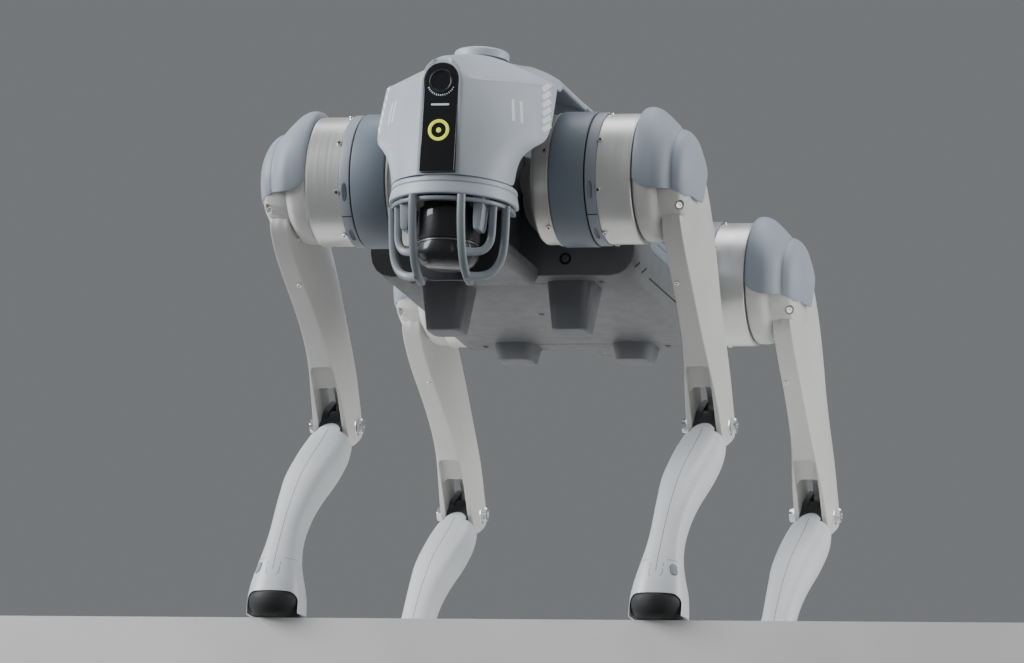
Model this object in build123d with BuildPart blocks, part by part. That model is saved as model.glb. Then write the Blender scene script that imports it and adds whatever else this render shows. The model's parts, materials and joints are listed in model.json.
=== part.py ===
from build123d import *
from math import cos, radians, sin
import os

# Quadruped walking robot: trunk, four legs with three joints each, one scanner bay under the head.
# The origin is on the floor below the middle of the whole machine. +Z is up, the head looks along -Y
# and the robot's left is +X.

os.makedirs("parts", exist_ok=True)

# ---------------------------------------------------------------- driving dimensions (mm)
hip_spacing = 456.8       # front hip axis to rear hip axis
hip_height = 429.0        # hip pitch axis above the floor in the standing pose
origin_shift = 23.0       # the hip midpoint stands this far ahead of the origin
half_width = 220.0        # outermost face of a thigh cover
leg_x = 191.0             # lateral centre of thigh, knee and calf
abduction_x = 66.0        # lateral place of the hip roll axis
seam_x = 117.6            # joint between hip housing and thigh motor
motor_end_x = 162.5       # outer face of the thigh motor
knee_back = 181.0         # knee pivot behind the hip axis
knee_down = 205.0         # knee pivot below the hip axis
foot_back = 22.0          # foot centre behind the hip axis
drum_r = 63.0             # radius of the hip and motor drums
running_clearance = 0.05  # radial clearance of pins in bores
body_gap = 0.5            # space between faces that move past each other

thigh_length = (knee_back**2 + knee_down**2) ** 0.5
hip_y = -hip_spacing / 2 - origin_shift
rear_hip_y = hip_spacing / 2 - origin_shift
knee_y = hip_y + knee_back
knee_z = hip_height - knee_down
along = Vector(0, knee_back, -knee_down) / thigh_length
across = Vector(0, knee_down, knee_back) / thigh_length

# ---------------------------------------------------------------- small helpers


def at_hip(s, d):
    """Point s along the thigh line and d behind it, in the side plane (y, z)."""
    spot = along * s + across * d
    return (hip_y + spot.Y, hip_height + spot.Z)


def save(solid, name):
    solid.label = name
    export_step(solid, f"parts/{name}.step")


def side_plane(x):
    """Sketch plane facing outward at lateral place x; local axes are y and z."""
    return Plane(origin=(x, 0, 0), x_dir=(0, 1, 0), z_dir=(1, 0, 0))


def front_plane(y):
    """Sketch plane at length y; local axes are x and z."""
    return Plane(origin=(0, y, 0), x_dir=(1, 0, 0), z_dir=(0, -1, 0))


# plane holding the hip axis, for profiles given as (x, radius)
drum_plane = Plane(origin=(0, hip_y, hip_height), x_dir=(1, 0, 0), z_dir=(0, -1, 0))
hip_axis = Axis((0, hip_y, hip_height), (1, 0, 0))
knee_spot = (knee_y, knee_z)

# ---------------------------------------------------------------- hip: housing and motors
cover_r = 65.5
boss_r = 30.0
boss_half = 68.0
stub_r = 12.0
stub_length = 8.0
housing_inner_x = 62.0
cover_start_x = 82.0
seam_width = 1.2
seam_depth = 2.5

with BuildPart() as hip_housing:
    with BuildSketch(drum_plane):
        with BuildLine():
            Polyline(
                (housing_inner_x, 0),
                (housing_inner_x, drum_r - 3),
                (housing_inner_x + 3, drum_r),
                (cover_start_x - seam_width, drum_r),
                (cover_start_x - seam_width, drum_r - seam_depth),
                (cover_start_x, drum_r - seam_depth),
                (cover_start_x, cover_r - 1),
                (cover_start_x + 1, cover_r),
                (seam_x - seam_width, cover_r),
                (seam_x - seam_width, cover_r - seam_depth),
                (seam_x, cover_r - seam_depth),
                (seam_x, 0),
                close=True,
            )
        make_face()
    revolve(axis=hip_axis)
    with BuildSketch(front_plane(hip_y + boss_half)):
        with Locations((abduction_x, hip_height)):
            Circle(boss_r)
    extrude(amount=boss_half)
    with BuildSketch(front_plane(hip_y + boss_half + stub_length)):
        with Locations((abduction_x, hip_height)):
            Circle(stub_r)
    extrude(amount=boss_half + stub_length)

shaft_r = 8.0
shaft_end_x = leg_x + 11.0
ring_end_x = 128.0
ring_r = 64.5
slot_count = 10

with BuildPart() as thigh_motor:
    with BuildSketch(drum_plane):
        with BuildLine():
            Polyline(
                (seam_x, 0),
                (seam_x, ring_r),
                (ring_end_x, ring_r),
                (ring_end_x, drum_r - 0.5),
                (ring_end_x + 1, drum_r - 0.5),
                (ring_end_x + 1, drum_r),
                (motor_end_x - 1, drum_r),
                (motor_end_x, drum_r - 1),
                (motor_end_x, shaft_r),
                (shaft_end_x, shaft_r),
                (shaft_end_x, 0),
                close=True,
            )
        make_face()
    revolve(axis=hip_axis)
    for step in range(slot_count):
        tangent = Plane(
            origin=((seam_x + ring_end_x) / 2, hip_y, hip_height),
            x_dir=(1, 0, 0),
            z_dir=(0, sin(radians(36 * step + 18)), cos(radians(36 * step + 18))),
        )
        with BuildSketch(tangent.offset(ring_r - 1.5)):
            SlotOverall(16, 5.5, rotation=90)
        extrude(amount=4, mode=Mode.SUBTRACT)

# ---------------------------------------------------------------- thigh
drum_start_x = motor_end_x + body_gap
drum_end_x = 213.0
fork_half = 20.0
slot_half = 12.0
fork_r = 22.0
slot_start = 224.0
channel_half = 8.0
crank_room_r = 37.0
bolt_r = 6.0

# stations along the thigh: distance, lateral width, depth, offset behind the hip-knee line
thigh_stations = [
    (20, 36, 92, -9),
    (80, 36, 88, 0),
    (140, 35, 72, 8),
    (190, 36, 58, 11),
    (235, 40, 48, 7),
    (268, 40, 40, 2),
]

def revolve_drum(mode=Mode.ADD):
    """Solid of the thigh's hip drum."""
    with BuildSketch(drum_plane) as profile:
        with BuildLine():
            Polyline(
                (drum_start_x, 0),
                (drum_start_x, 56),
                (drum_start_x + 4, 60),
                (drum_start_x + 13, 60),
                (drum_start_x + 27, 47),
                (drum_start_x + 40, 42),
                (drum_end_x, 25),
                (drum_end_x, 0),
                close=True,
            )
        make_face()
    revolve(profile.sketch, axis=hip_axis, mode=mode)


with BuildPart() as thigh_form:
    for distance, width, depth, offset_back in thigh_stations:
        y, z = at_hip(distance, offset_back)
        with BuildSketch(Plane(origin=(leg_x, y, z), x_dir=(1, 0, 0), z_dir=along)):
            RectangleRounded(width, depth, 0.4 * width)
    loft()
    with BuildSketch(side_plane(leg_x - fork_half)):
        with Locations(knee_spot):
            Circle(fork_r)
    extrude(amount=2 * fork_half)
    revolve_drum()

with BuildPart() as thigh_shell:
    add(thigh_form.part)
    with BuildSketch(side_plane(leg_x - slot_half)):
        with Locations((hip_y, hip_height)):
            Circle(crank_room_r)
    extrude(amount=2 * slot_half, mode=Mode.SUBTRACT)
    with BuildSketch(side_plane(leg_x - channel_half)):
        with BuildLine():
            Polyline(
                at_hip(0, 8),
                at_hip(0, 33),
                at_hip(slot_start + 6, 33),
                at_hip(slot_start + 6, 8),
                close=True,
            )
        make_face()
    extrude(amount=2 * channel_half, mode=Mode.SUBTRACT)
    with BuildSketch(side_plane(leg_x - slot_half)):
        with BuildLine():
            Polyline(
                at_hip(slot_start, 60),
                at_hip(slot_start, -60),
                at_hip(thigh_length + 50, -60),
                at_hip(thigh_length + 50, 60),
                close=True,
            )
        make_face()
    extrude(amount=2 * slot_half, mode=Mode.SUBTRACT)
    with BuildSketch(side_plane(drum_start_x - 1)):
        with Locations((hip_y, hip_height)):
            Circle(shaft_r + running_clearance)
    extrude(amount=shaft_end_x + body_gap - drum_start_x + 1, mode=Mode.SUBTRACT)
    with BuildSketch(side_plane(leg_x - fork_half - 1)):
        with Locations(knee_spot):
            Circle(bolt_r)
    extrude(amount=2 * fork_half + 2, mode=Mode.SUBTRACT)
    for face_x in (leg_x - fork_half - 10, leg_x + fork_half):
        with BuildSketch(side_plane(face_x)):
            with Locations(knee_spot):
                Circle(10)
        extrude(amount=10, mode=Mode.SUBTRACT)

# two-humped soft cover over the top of the thigh drum
cover_edge_front = -31.0  # height of the cover's lower edge above the hip axis, 90 mm ahead of it
cover_edge_back = 29.0    # and 90 mm behind it

with BuildPart() as thigh_cover:
    with BuildSketch(drum_plane):
        with BuildLine():
            ThreePointArc((drum_start_x, 61), (drum_start_x + 16, 68), (drum_start_x + 33, 51))
            ThreePointArc((drum_start_x + 33, 51), (drum_start_x + 50, 36), (half_width, 0))
            Polyline((half_width, 0), (drum_start_x, 0), (drum_start_x, 61))
        make_face()
    revolve(axis=hip_axis)
    revolve_drum(Mode.SUBTRACT)
    with BuildSketch(side_plane(drum_start_x - 1)):
        with BuildLine():
            Polyline(
                (hip_y - 90, hip_height + cover_edge_front),
                (hip_y + 90, hip_height + cover_edge_back),
                (hip_y + 90, hip_height - 120),
                (hip_y - 90, hip_height - 120),
                close=True,
            )
        make_face()
    extrude(amount=70, mode=Mode.SUBTRACT)

# ---------------------------------------------------------------- knee drive
lever_length = 26.0
lever_angle = 52.0        # above the horizontal, pointing back, in the standing pose
lever_y = lever_length * cos(radians(lever_angle))
lever_z = lever_length * sin(radians(lever_angle))
crank_pin = (hip_y + lever_y, hip_height + lever_z)
rod_pin = (knee_y + lever_y, knee_z + lever_z)
link_pin_r = 4.0
open_pivot_clearance = 0.4
rod_half = 5.0
eye_r = 8.0
fork_gap = 5.5            # half the space between the lever's two cheeks
crank_half = 11.0
knuckle_half = 11.5


def link(x_from, x_to, first, first_r, second, second_r, mode=Mode.ADD):
    """Flat link around two pins, from one lateral place to another."""
    with BuildSketch(side_plane(x_from)) as outline:
        with Locations(first):
            Circle(first_r)
        with Locations(second):
            Circle(second_r)
        make_hull()
    extrude(outline.sketch, amount=x_to - x_from, mode=mode)


def disc(x_from, x_to, centre, radius, mode=Mode.ADD):
    """Round boss, pin or bore along the lateral direction."""
    with BuildSketch(side_plane(x_from)) as outline:
        with Locations(centre):
            Circle(radius)
    extrude(outline.sketch, amount=x_to - x_from, mode=mode)


with BuildPart() as knee_crank:
    hip_spot = (hip_y, hip_height)
    for start, end in ((-crank_half, -fork_gap), (fork_gap, crank_half)):
        link(leg_x + start, leg_x + end, hip_spot, 15, crank_pin, 8.5)
    disc(leg_x - crank_half, leg_x + crank_half, hip_spot, 11)
    disc(leg_x - crank_half, leg_x + crank_half, crank_pin, link_pin_r)
    disc(leg_x - crank_half, leg_x + crank_half, hip_spot, shaft_r + running_clearance, Mode.SUBTRACT)

with BuildPart() as push_rod:
    link(leg_x - rod_half, leg_x + rod_half, crank_pin, 4.5, rod_pin, 4.5)
    disc(leg_x - rod_half, leg_x + rod_half, crank_pin, eye_r)
    disc(leg_x - rod_half, leg_x + rod_half, rod_pin, eye_r)
    disc(leg_x - rod_half, leg_x + rod_half, crank_pin, link_pin_r + running_clearance, Mode.SUBTRACT)
    disc(leg_x - rod_half, leg_x + rod_half, rod_pin, link_pin_r + open_pivot_clearance, Mode.SUBTRACT)

tongue_end = (knee_y - 44, knee_z - 43)

with BuildPart() as calf_knuckle:
    for start, end in ((-knuckle_half, -fork_gap), (fork_gap, knuckle_half)):
        link(leg_x + start, leg_x + end, knee_spot, 17, rod_pin, 8.5)
    link(leg_x - knuckle_half, leg_x + knuckle_half, knee_spot, 15, tongue_end, 9)
    disc(leg_x - knuckle_half, leg_x + knuckle_half, rod_pin, link_pin_r)
    disc(leg_x - knuckle_half, leg_x + knuckle_half, knee_spot, bolt_r + running_clearance, Mode.SUBTRACT)

bolt_end = 27.5
bolt_head_r = 8.0

with BuildPart() as knee_pin:
    disc(leg_x - bolt_end, leg_x + bolt_end, knee_spot, bolt_r)
    for start, end in ((-bolt_end, -fork_half), (fork_half, bolt_end)):
        with BuildSketch(side_plane(leg_x + start)):
            with Locations(knee_spot):
                RegularPolygon(bolt_head_r, 6)
        extrude(amount=end - start)

# ---------------------------------------------------------------- calf and foot
ankle_z = 30.0
foot_y = hip_y + foot_back

# stations down the calf: place behind and below the hip axis, lateral width, depth
calf_stations = [
    (164, 226, 42, 32),
    (138, 249, 50, 38),
    (104, 275, 48, 40),
    (69, 307, 39, 36),
    (45, 337, 34, 33),
    (28, 369, 42, 38),
    (foot_back, hip_height - ankle_z, 54, 50),
]
knee_room_r = 32.0

with BuildPart() as calf_shell:
    spots = [Vector(leg_x, hip_y + back, hip_height - down) for back, down, width, depth in calf_stations]
    headings = [(spots[min(i + 1, len(spots) - 1)] - spots[max(i - 1, 0)]) for i in range(len(spots))]
    headings[-1] = Vector(0, 0, -1)
    for spot, heading, (back, down, width, depth) in zip(spots, headings, calf_stations):
        with BuildSketch(Plane(origin=spot, x_dir=(1, 0, 0), z_dir=heading)):
            Ellipse(width / 2, depth / 2)
    loft()
    disc(leg_x - 40, leg_x + 40, knee_spot, knee_room_r, Mode.SUBTRACT)
    add(calf_knuckle.part, mode=Mode.SUBTRACT)

foot_r = 28.0
sole_r = 15.0

with BuildPart() as foot_pad:
    with BuildSketch(Plane(origin=(leg_x, foot_y, 0), x_dir=(1, 0, 0), z_dir=(0, -1, 0))):
        with BuildLine():
            Polyline((0, 0), (sole_r, 0))
            ThreePointArc((sole_r, 0), (24, 5), (foot_r, 14))
            Polyline((foot_r, 14), (foot_r, ankle_z - 3), (foot_r - 2, ankle_z), (0, ankle_z), (0, 0))
        make_face()
    revolve(axis=Axis((leg_x, foot_y, 0), (0, 0, 1)))

# ---------------------------------------------------------------- trunk
trunk_mid = -origin_shift
wall = 3.0
mid_half_length = 155.0
deck_z = 112.0
side_x = 134.0
split_z = -2.0
battery_half_length = 92.0
battery_x = 70.0
battery_low = -38.0
battery_high = 48.0
battery_gap = 0.6
chin_end = 72.0           # the belly's tongue under the head reaches this far ahead of the hip axes

belly_front = [(0, -78), (112, -78), (124, -74), (131, -66), (134, -55), (134, split_z), (0, split_z)]
belly_rear = [(0, -85), (110, -85), (122, -81), (129, -73), (132, -62), (132, split_z), (0, split_z)]
belly_front_in = [(0, -75), (111, -75), (122, -71.5), (128.5, -64), (131, -54), (131, 10), (0, 10)]
belly_rear_in = [(0, -82), (109, -82), (120, -78.5), (126.5, -71), (129, -61), (129, 10), (0, 10)]
upper_out = [(0, split_z), (side_x, split_z), (side_x, 42), (122, 66), (86, 86), (64, 104)]
upper_out += [(46, deck_z), (0, deck_z)]
upper_in = [(0, -10), (131, -10), (131, 41), (120, 63), (84, 83), (62, 101), (45, 109), (0, 109)]
saddle_z = deck_z - 0.6   # the payload deck stands a little above the saddles over the hips
saddle = [(0, 102), (62, 90), (78, 86), (79, 91), (64, 104), (46, saddle_z), (0, saddle_z)]
chin = [(0, -70), (38, -70), (38, -78), (30, -88), (0, -88)]


def cross_section(y, points):
    """Closed symmetric outline across the trunk from right-hand points (x, z above the hip axis)."""
    right = [(x, hip_height + z) for x, z in points]
    left = [(-x, z) for x, z in reversed(right) if x > 0]
    with BuildSketch(front_plane(y)) as outline:
        with BuildLine():
            Polyline(*right, *left, close=True)
        make_face()
    return outline.sketch


def battery_box(side, gap, outer_x, mode=Mode.ADD):
    """Block of one battery bay, grown by a gap on its hidden faces."""
    inner_x = battery_x - gap
    middle_z = hip_height + (battery_low + battery_high) / 2
    size = (outer_x - inner_x, 2 * (battery_half_length + gap), battery_high - battery_low + 2 * gap)
    with Locations((side * (inner_x + outer_x) / 2, trunk_mid, middle_z)):
        Box(*size, mode=mode)


motor_face = boss_half + body_gap
motor_r = 46.0
motor_length = 62.0
plate_r = 30.0
plate_thick = 5.0

with BuildPart() as roll_motors:
    for side in (-1, 1):
        for y, sense in ((hip_y, 1), (rear_hip_y, -1)):
            with BuildSketch(front_plane(y + sense * motor_face)) as face:
                with Locations((side * abduction_x, hip_height)):
                    Circle(motor_r)
                    Circle(stub_r + running_clearance, mode=Mode.SUBTRACT)
            extrude(face.sketch, amount=-sense * motor_length)

computer_length = 168.0
computer_height = 60.0
spine_width = 36.0
spine_height = 100.0
spine_length = hip_spacing + 2 * chin_end

with BuildPart() as chassis_frame:
    with Locations((0, trunk_mid, hip_height - 8)):
        Box(spine_width, spine_length, spine_height)
    with Locations((0, trunk_mid, hip_height + 5)):
        Box(50, computer_length, computer_height, mode=Mode.SUBTRACT)
    for y, sense in ((hip_y, 1), (rear_hip_y, -1)):
        with BuildSketch(front_plane(y + sense * (motor_face + motor_length))) as plate:
            for side in (-1, 1):
                with Locations((side * abduction_x, hip_height)):
                    Circle(plate_r)
            make_hull()
        extrude(plate.sketch, amount=-sense * plate_thick)

with BuildPart() as computer_box:
    with Locations((0, trunk_mid, hip_height + 5)):
        Box(46, computer_length, computer_height)


def cut_trunk_rooms():
    """Clear the shells around the batteries, the roll motors and the chassis spine."""
    for side in (-1, 1):
        battery_box(side, battery_gap, 150, Mode.SUBTRACT)
    for y in (hip_y, rear_hip_y):
        with BuildSketch(front_plane(y + boss_half + motor_length)) as rooms:
            for side in (-1, 1):
                with Locations((side * abduction_x, hip_height)):
                    Circle(motor_r)
        extrude(rooms.sketch, amount=2 * (boss_half + motor_length), mode=Mode.SUBTRACT)
    with Locations((0, trunk_mid, hip_height - 8)):
        Box(spine_width, spine_length, spine_height, mode=Mode.SUBTRACT)


mid_start, mid_end = trunk_mid - mid_half_length, trunk_mid + mid_half_length
chin_length = hip_spacing / 2 + chin_end - mid_half_length

belly_ends = [cross_section(mid_start, belly_front), cross_section(mid_end, belly_rear)]
belly_room_ends = [
    cross_section(mid_start + wall, belly_front_in),
    cross_section(mid_end - wall, belly_rear_in),
]

with BuildPart() as belly_shell:
    loft(belly_ends, ruled=True)
    loft(belly_room_ends, ruled=True, mode=Mode.SUBTRACT)
    cut_trunk_rooms()
    extrude(cross_section(mid_start, chin), amount=chin_length)

payload_x = 40.0
payload_y = 100.0
payload_hole_r = 2.5

with BuildPart() as upper_shell:
    extrude(cross_section(mid_end, upper_out), amount=2 * mid_half_length)
    extrude(cross_section(mid_end - wall, upper_in), amount=2 * (mid_half_length - wall), mode=Mode.SUBTRACT)
    saddle_length = hip_spacing / 2 - mid_half_length + 52
    for end in (mid_start, mid_end + saddle_length):
        extrude(cross_section(end, saddle), amount=saddle_length)
    cut_trunk_rooms()
    with Locations(Plane.XY.offset(hip_height + deck_z)):
        with Locations((0, trunk_mid)):
            with GridLocations(2 * payload_x, 2 * payload_y, 2, 2):
                Hole(payload_hole_r, depth=20)


def battery(side):
    with BuildPart() as pack:
        battery_box(side, 0, side_x)
        edges = pack.edges().filter_by(Axis.Y).sort_by(Axis.X)
        fillet(edges[-2:] if side > 0 else edges[:2], 6)
        with Locations((side * side_x, trunk_mid, hip_height + 20)):
            Box(8, 90, 14, mode=Mode.SUBTRACT)
    return pack


battery_left = battery(1)
battery_right = battery(-1)

# head prow: nose and side corner of each horizontal slice, all relative to the hip axis
# (height, nose y, nose half width, side x, side y, rear y)
head_levels = [
    (-32, -157.5, 17, 64, -101, -88),
    (0, -160, 17, 77, -92, -84),
    (20, -161, 17, 86, -83, -79),
    (76, -163, 16, 86, -62, -58),
    (100, -100, 16, 56, -58, -55),
    (deck_z, -62, 10, 28, -56, -54),
]
side_bulge = 5.0
strip_top = 76.0
strip_bottom = -30.0
strip_half = 17.0
window_back_y = hip_y - 152.0
window_depth = 11.0


def head_slice(level, inset):
    """One horizontal outline of the head shell."""
    z, nose_y, nose_half, corner_x, corner_y, rear_y = level
    nose = (nose_half, hip_y + nose_y + inset)
    corner = (corner_x - inset, hip_y + corner_y)
    rear = (corner_x - inset, hip_y + rear_y)
    middle = ((nose[0] + corner[0]) / 2 + side_bulge, (nose[1] + corner[1]) / 2 - side_bulge)
    with BuildSketch(Plane.XY.offset(hip_height + z)) as outline:
        with BuildLine():
            Line((-nose[0], nose[1]), nose)
            ThreePointArc(nose, middle, corner)
            Line(corner, rear)
            Line(rear, (-rear[0], rear[1]))
            Line((-rear[0], rear[1]), (-corner[0], corner[1]))
            ThreePointArc((-corner[0], corner[1]), (-middle[0], middle[1]), (-nose[0], nose[1]))
        make_face()
    return outline.sketch


def head_body():
    """Hollow prow, open at the bottom and the back, with a flat nose."""
    with BuildPart() as shell:
        loft([head_slice(level, 0) for level in head_levels], ruled=True)
        inner = [head_slice((z - wall, *rest), wall) for z, *rest in head_levels]
        loft(inner, ruled=True, mode=Mode.SUBTRACT)
        with Locations((0, hip_y - 54, hip_height + 20)):
            Box(140, 12, 108, mode=Mode.SUBTRACT)
    return shell


def window_outline(margin):
    """Tall strip with a round top, in the plane of the nose's inner face."""
    half = strip_half + margin
    top = hip_height + strip_top + margin - half
    bottom = hip_height + strip_bottom - margin
    with BuildSketch(front_plane(window_back_y)) as outline:
        with BuildLine():
            Polyline((-half, top), (-half, bottom), (half, bottom), (half, top))
            ThreePointArc((half, top), (0, top + half), (-half, top))
        make_face()
    return outline.sketch


window_front_y = hip_y - 163.5
lens_z = hip_height + 57.8
lamp_z = hip_height + 10.0


def round_on_window(z, radius, depth, proud, mode=Mode.ADD):
    """Round piece on the window's face, reaching a little proud of it."""
    with BuildSketch(front_plane(window_front_y + depth)) as outline:
        with Locations((0, z)):
            Circle(radius)
    extrude(outline.sketch, amount=depth + proud, mode=mode)


with BuildPart() as head_shell:
    add(head_body().part)
    extrude(window_outline(0.2), amount=30, mode=Mode.SUBTRACT)

with BuildPart() as camera_window:
    extrude(window_outline(0), amount=window_depth)
    round_on_window(lens_z, 12.0, 8, 1, Mode.SUBTRACT)
    round_on_window(lamp_z, 10.5, 8, 1, Mode.SUBTRACT)

with BuildPart() as camera_lens:
    round_on_window(lens_z, 12.0, 6, 1.5)
    round_on_window(lens_z, 8.0, 0, 1.5, Mode.SUBTRACT)

with BuildPart() as ring_lamp:
    round_on_window(lamp_z, 10.5, 6, 0.5)
    round_on_window(lamp_z, 7.5, 2, 1, Mode.SUBTRACT)
    round_on_window(lamp_z, 3.0, 6, 0.2)

button_r = 9.0
button_z = hip_height + 30.0
button_travel = 2.0
tail_nose_y = 2 * trunk_mid - hip_y + 159.0

rear_plane = Plane.XZ.offset(-trunk_mid)

with BuildPart() as tail_form:
    add(head_body().part)
    extrude(head_slice(head_levels[0], 0), amount=wall)

with BuildPart() as tail_shell:
    mirror(tail_form.part, about=rear_plane)
    with BuildSketch(front_plane(tail_nose_y + 12)) as hole:
        with Locations((0, button_z)):
            Circle(button_r + body_gap)
    extrude(hole.sketch, amount=30, mode=Mode.SUBTRACT)

with BuildPart() as power_button:
    with BuildSketch(front_plane(tail_nose_y + 4)) as cap:
        with Locations((0, button_z)):
            Circle(button_r)
    extrude(cap.sketch, amount=10)
    fillet(power_button.edges().sort_by(Axis.Y)[-1:], 1.5)

# scanner, cage and collar below the head
scanner_y = hip_y - 97.6
collar_r = 62.0
cage_r = 59.5
back_y = hip_y - 77.0
collar_top = hip_height - 33.0
collar_bottom = hip_height - 50.0


def keep_ahead():
    """Cut away everything behind the scanner bay's flat back."""
    with Locations((0, back_y + 50, hip_height - 90)):
        Box(160, 100, 160, mode=Mode.SUBTRACT)


def ring(z_low, z_high, r_low, r_high, thickness):
    """Conical band around the scanner."""
    with BuildPart(mode=Mode.PRIVATE) as band:
        with BuildSketch(Plane(origin=(0, scanner_y, 0), x_dir=(1, 0, 0), z_dir=(0, -1, 0))):
            Polygon(
                (r_low, z_low),
                (r_high, z_high),
                (r_high - thickness, z_high),
                (r_low - thickness, z_low),
                align=None,
            )
        revolve(axis=Axis((0, scanner_y, 0), (0, 0, 1)))
    return band.part


with BuildPart() as scanner_collar:
    add(ring(collar_bottom, collar_top, collar_r, collar_r - 3, 7))
    keep_ahead()

cage_top = hip_height - 52.0
rib_x = 24.0
rib_width = 5.0
rod_r = 3.5

# side hoops: top, lower corner and front end as (x, y ahead of the hip axis, z below the ring)
hoops = [
    ((49, 126.7, 2), (47, 121, 34), (34, 126, 50), (24, 137, 52)),
    ((55.5, 113, 2), (54, 108, 48), (40, 112, 68), (24, 122, 71)),
]


def hoop_rod(side, *stops):
    """Bent rod from the cage ring down and inward to a front rib."""
    corners = [(side * x, hip_y - ahead, cage_top - below) for x, ahead, below in stops]
    with BuildPart() as rod:
        with BuildLine() as path:
            FilletPolyline(*corners, radius=10)
        with BuildSketch(Plane(origin=path.line @ 0, z_dir=path.line % 0)):
            Circle(rod_r)
        sweep()
    return rod.part


hoop_rods = [hoop_rod(side, *stops) for side in (-1, 1) for stops in hoops]

with BuildPart() as scanner_cage:
    add(ring(cage_top - 4, cage_top, cage_r, cage_r, 5))
    for side in (-1, 1):
        with BuildSketch(side_plane(side * rib_x - rib_width / 2)) as rib:
            with BuildLine():
                Spline(
                    (hip_y - 152.5, cage_top - 1),
                    (hip_y - 149, cage_top - 28),
                    (hip_y - 138, cage_top - 56),
                    (hip_y - 119, cage_top - 74),
                )
                Line((hip_y - 119, cage_top - 74), (hip_y - 108, cage_top - 77))
                Line((hip_y - 108, cage_top - 77), (hip_y - 108, cage_top - 69))
                Line((hip_y - 108, cage_top - 69), (hip_y - 116, cage_top - 67))
                Spline(
                    (hip_y - 116, cage_top - 67),
                    (hip_y - 131, cage_top - 52),
                    (hip_y - 141.5, cage_top - 26),
                    (hip_y - 145, cage_top - 1),
                )
                Line((hip_y - 145, cage_top - 1), (hip_y - 152.5, cage_top - 1))
            make_face()
        extrude(rib.sketch, amount=rib_width)
    add(hoop_rods)
    keep_ahead()

lidar_y = hip_y - 108.5
lidar_r = 30.0

with BuildPart() as scanner:
    with BuildSketch(Plane(origin=(0, lidar_y, 0), x_dir=(1, 0, 0), z_dir=(0, -1, 0))):
        with BuildLine():
            Polyline(
                (0, cage_top + 14),
                (26, cage_top + 14),
                (26, cage_top - 3),
                (lidar_r, cage_top - 5),
                (lidar_r, cage_top - 36),
                (lidar_r - 2, cage_top - 37),
                (lidar_r - 2, cage_top - 39),
                (lidar_r, cage_top - 40),
                (lidar_r, cage_top - 50),
                (22, cage_top - 60),
                (0, cage_top - 60),
                close=True,
            )
        make_face()
    revolve(axis=Axis((0, lidar_y, 0), (0, 0, 1)))

with BuildPart() as scanner_brackets:
    for side in (-1, 1):
        with BuildSketch(Plane.XY.offset(collar_top - 8)) as foot:
            with Locations((side * 35, hip_y - 123)):
                Rectangle(9, 20)
        with BuildSketch(Plane.XY.offset(cage_top - 27)) as tip:
            with Locations((side * 35.5, hip_y - 128)):
                Rectangle(6, 12)
        loft([foot.sketch, tip.sketch], ruled=True)
    with BuildSketch(Plane.XY.offset(collar_top - 8)) as plate:
        with Locations((0, scanner_y)):
            Circle(collar_r - 11)
    extrude(plate.sketch, amount=4)
    with Locations((0, lidar_y, collar_top)):
        Cylinder(27, 40, mode=Mode.SUBTRACT)
    keep_ahead()

# wall behind the scanner, standing on the belly's tongue
with BuildPart() as bay_wall:
    with BuildSketch(front_plane(hip_y - chin_end)):
        with Locations((0, hip_height - 82)):
            Rectangle(96, 68)
    extrude(amount=4.5)

cap_y = hip_y - 32.6

with BuildPart() as top_cap:
    with BuildSketch(Plane.XY.offset(hip_height + deck_z)):
        with Locations((0, cap_y)):
            Circle(26.7)
    extrude(amount=9)
    chamfer(top_cap.faces().sort_by(Axis.Z)[-1].edges(), 2)

# belly rests: tapered round posts, each as (x, behind the front hip, top, bottom)
rest_pad_r = 18.0
rest_root_r = 27.0
rests = [(64, 116.5, -57, -125.5), (62, 365.7, -60, -101)]

with BuildPart() as belly_rests:
    for x, behind, top, bottom in rests:
        for side in (-1, 1):
            with BuildSketch(Plane.XY.offset(hip_height + bottom)) as pad:
                with Locations((side * x, hip_y + behind)):
                    Circle(rest_pad_r)
            with BuildSketch(Plane.XY.offset(hip_height + top)) as root:
                with Locations((side * x, hip_y + behind)):
                    Circle(rest_root_r)
            loft([pad.sketch, root.sketch])
    loft(belly_ends, ruled=True, mode=Mode.SUBTRACT)

# ---------------------------------------------------------------- files
trunk_pieces = {
    "belly_shell": belly_shell.part,
    "upper_shell": upper_shell.part,
    "head_shell": head_shell.part,
    "tail_shell": tail_shell.part,
    "chassis_frame": chassis_frame.part,
    "computer_box": computer_box.part,
    "camera_window": camera_window.part,
    "camera_lens": camera_lens.part,
    "ring_lamp": ring_lamp.part,
    "scanner_cage": scanner_cage.part,
    "scanner_collar": scanner_collar.part,
    "scanner": scanner.part,
    "scanner_brackets": scanner_brackets.part,
    "bay_wall": bay_wall.part,
    "battery_left": battery_left.part,
    "battery_right": battery_right.part,
    "belly_rests": belly_rests.part,
    "roll_motors": roll_motors.part,
    "power_button": power_button.part,
    "top_cap": top_cap.part,
}
leg_pieces = {
    "thigh_motor": thigh_motor.part,
    "thigh_shell": thigh_shell.part,
    "thigh_cover": thigh_cover.part,
    "knee_crank": knee_crank.part,
    "push_rod": push_rod.part,
    "knee_pin": knee_pin.part,
    "calf_knuckle": calf_knuckle.part,
    "calf_shell": calf_shell.part,
    "foot_pad": foot_pad.part,
}

for name, solid in trunk_pieces.items():
    save(solid, name)

# the rear roll motors stand ahead of their hips, so the rear housings are turned round
rear_hip_housing = mirror(hip_housing.part, about=Plane.XZ.offset(-hip_y))

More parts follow.
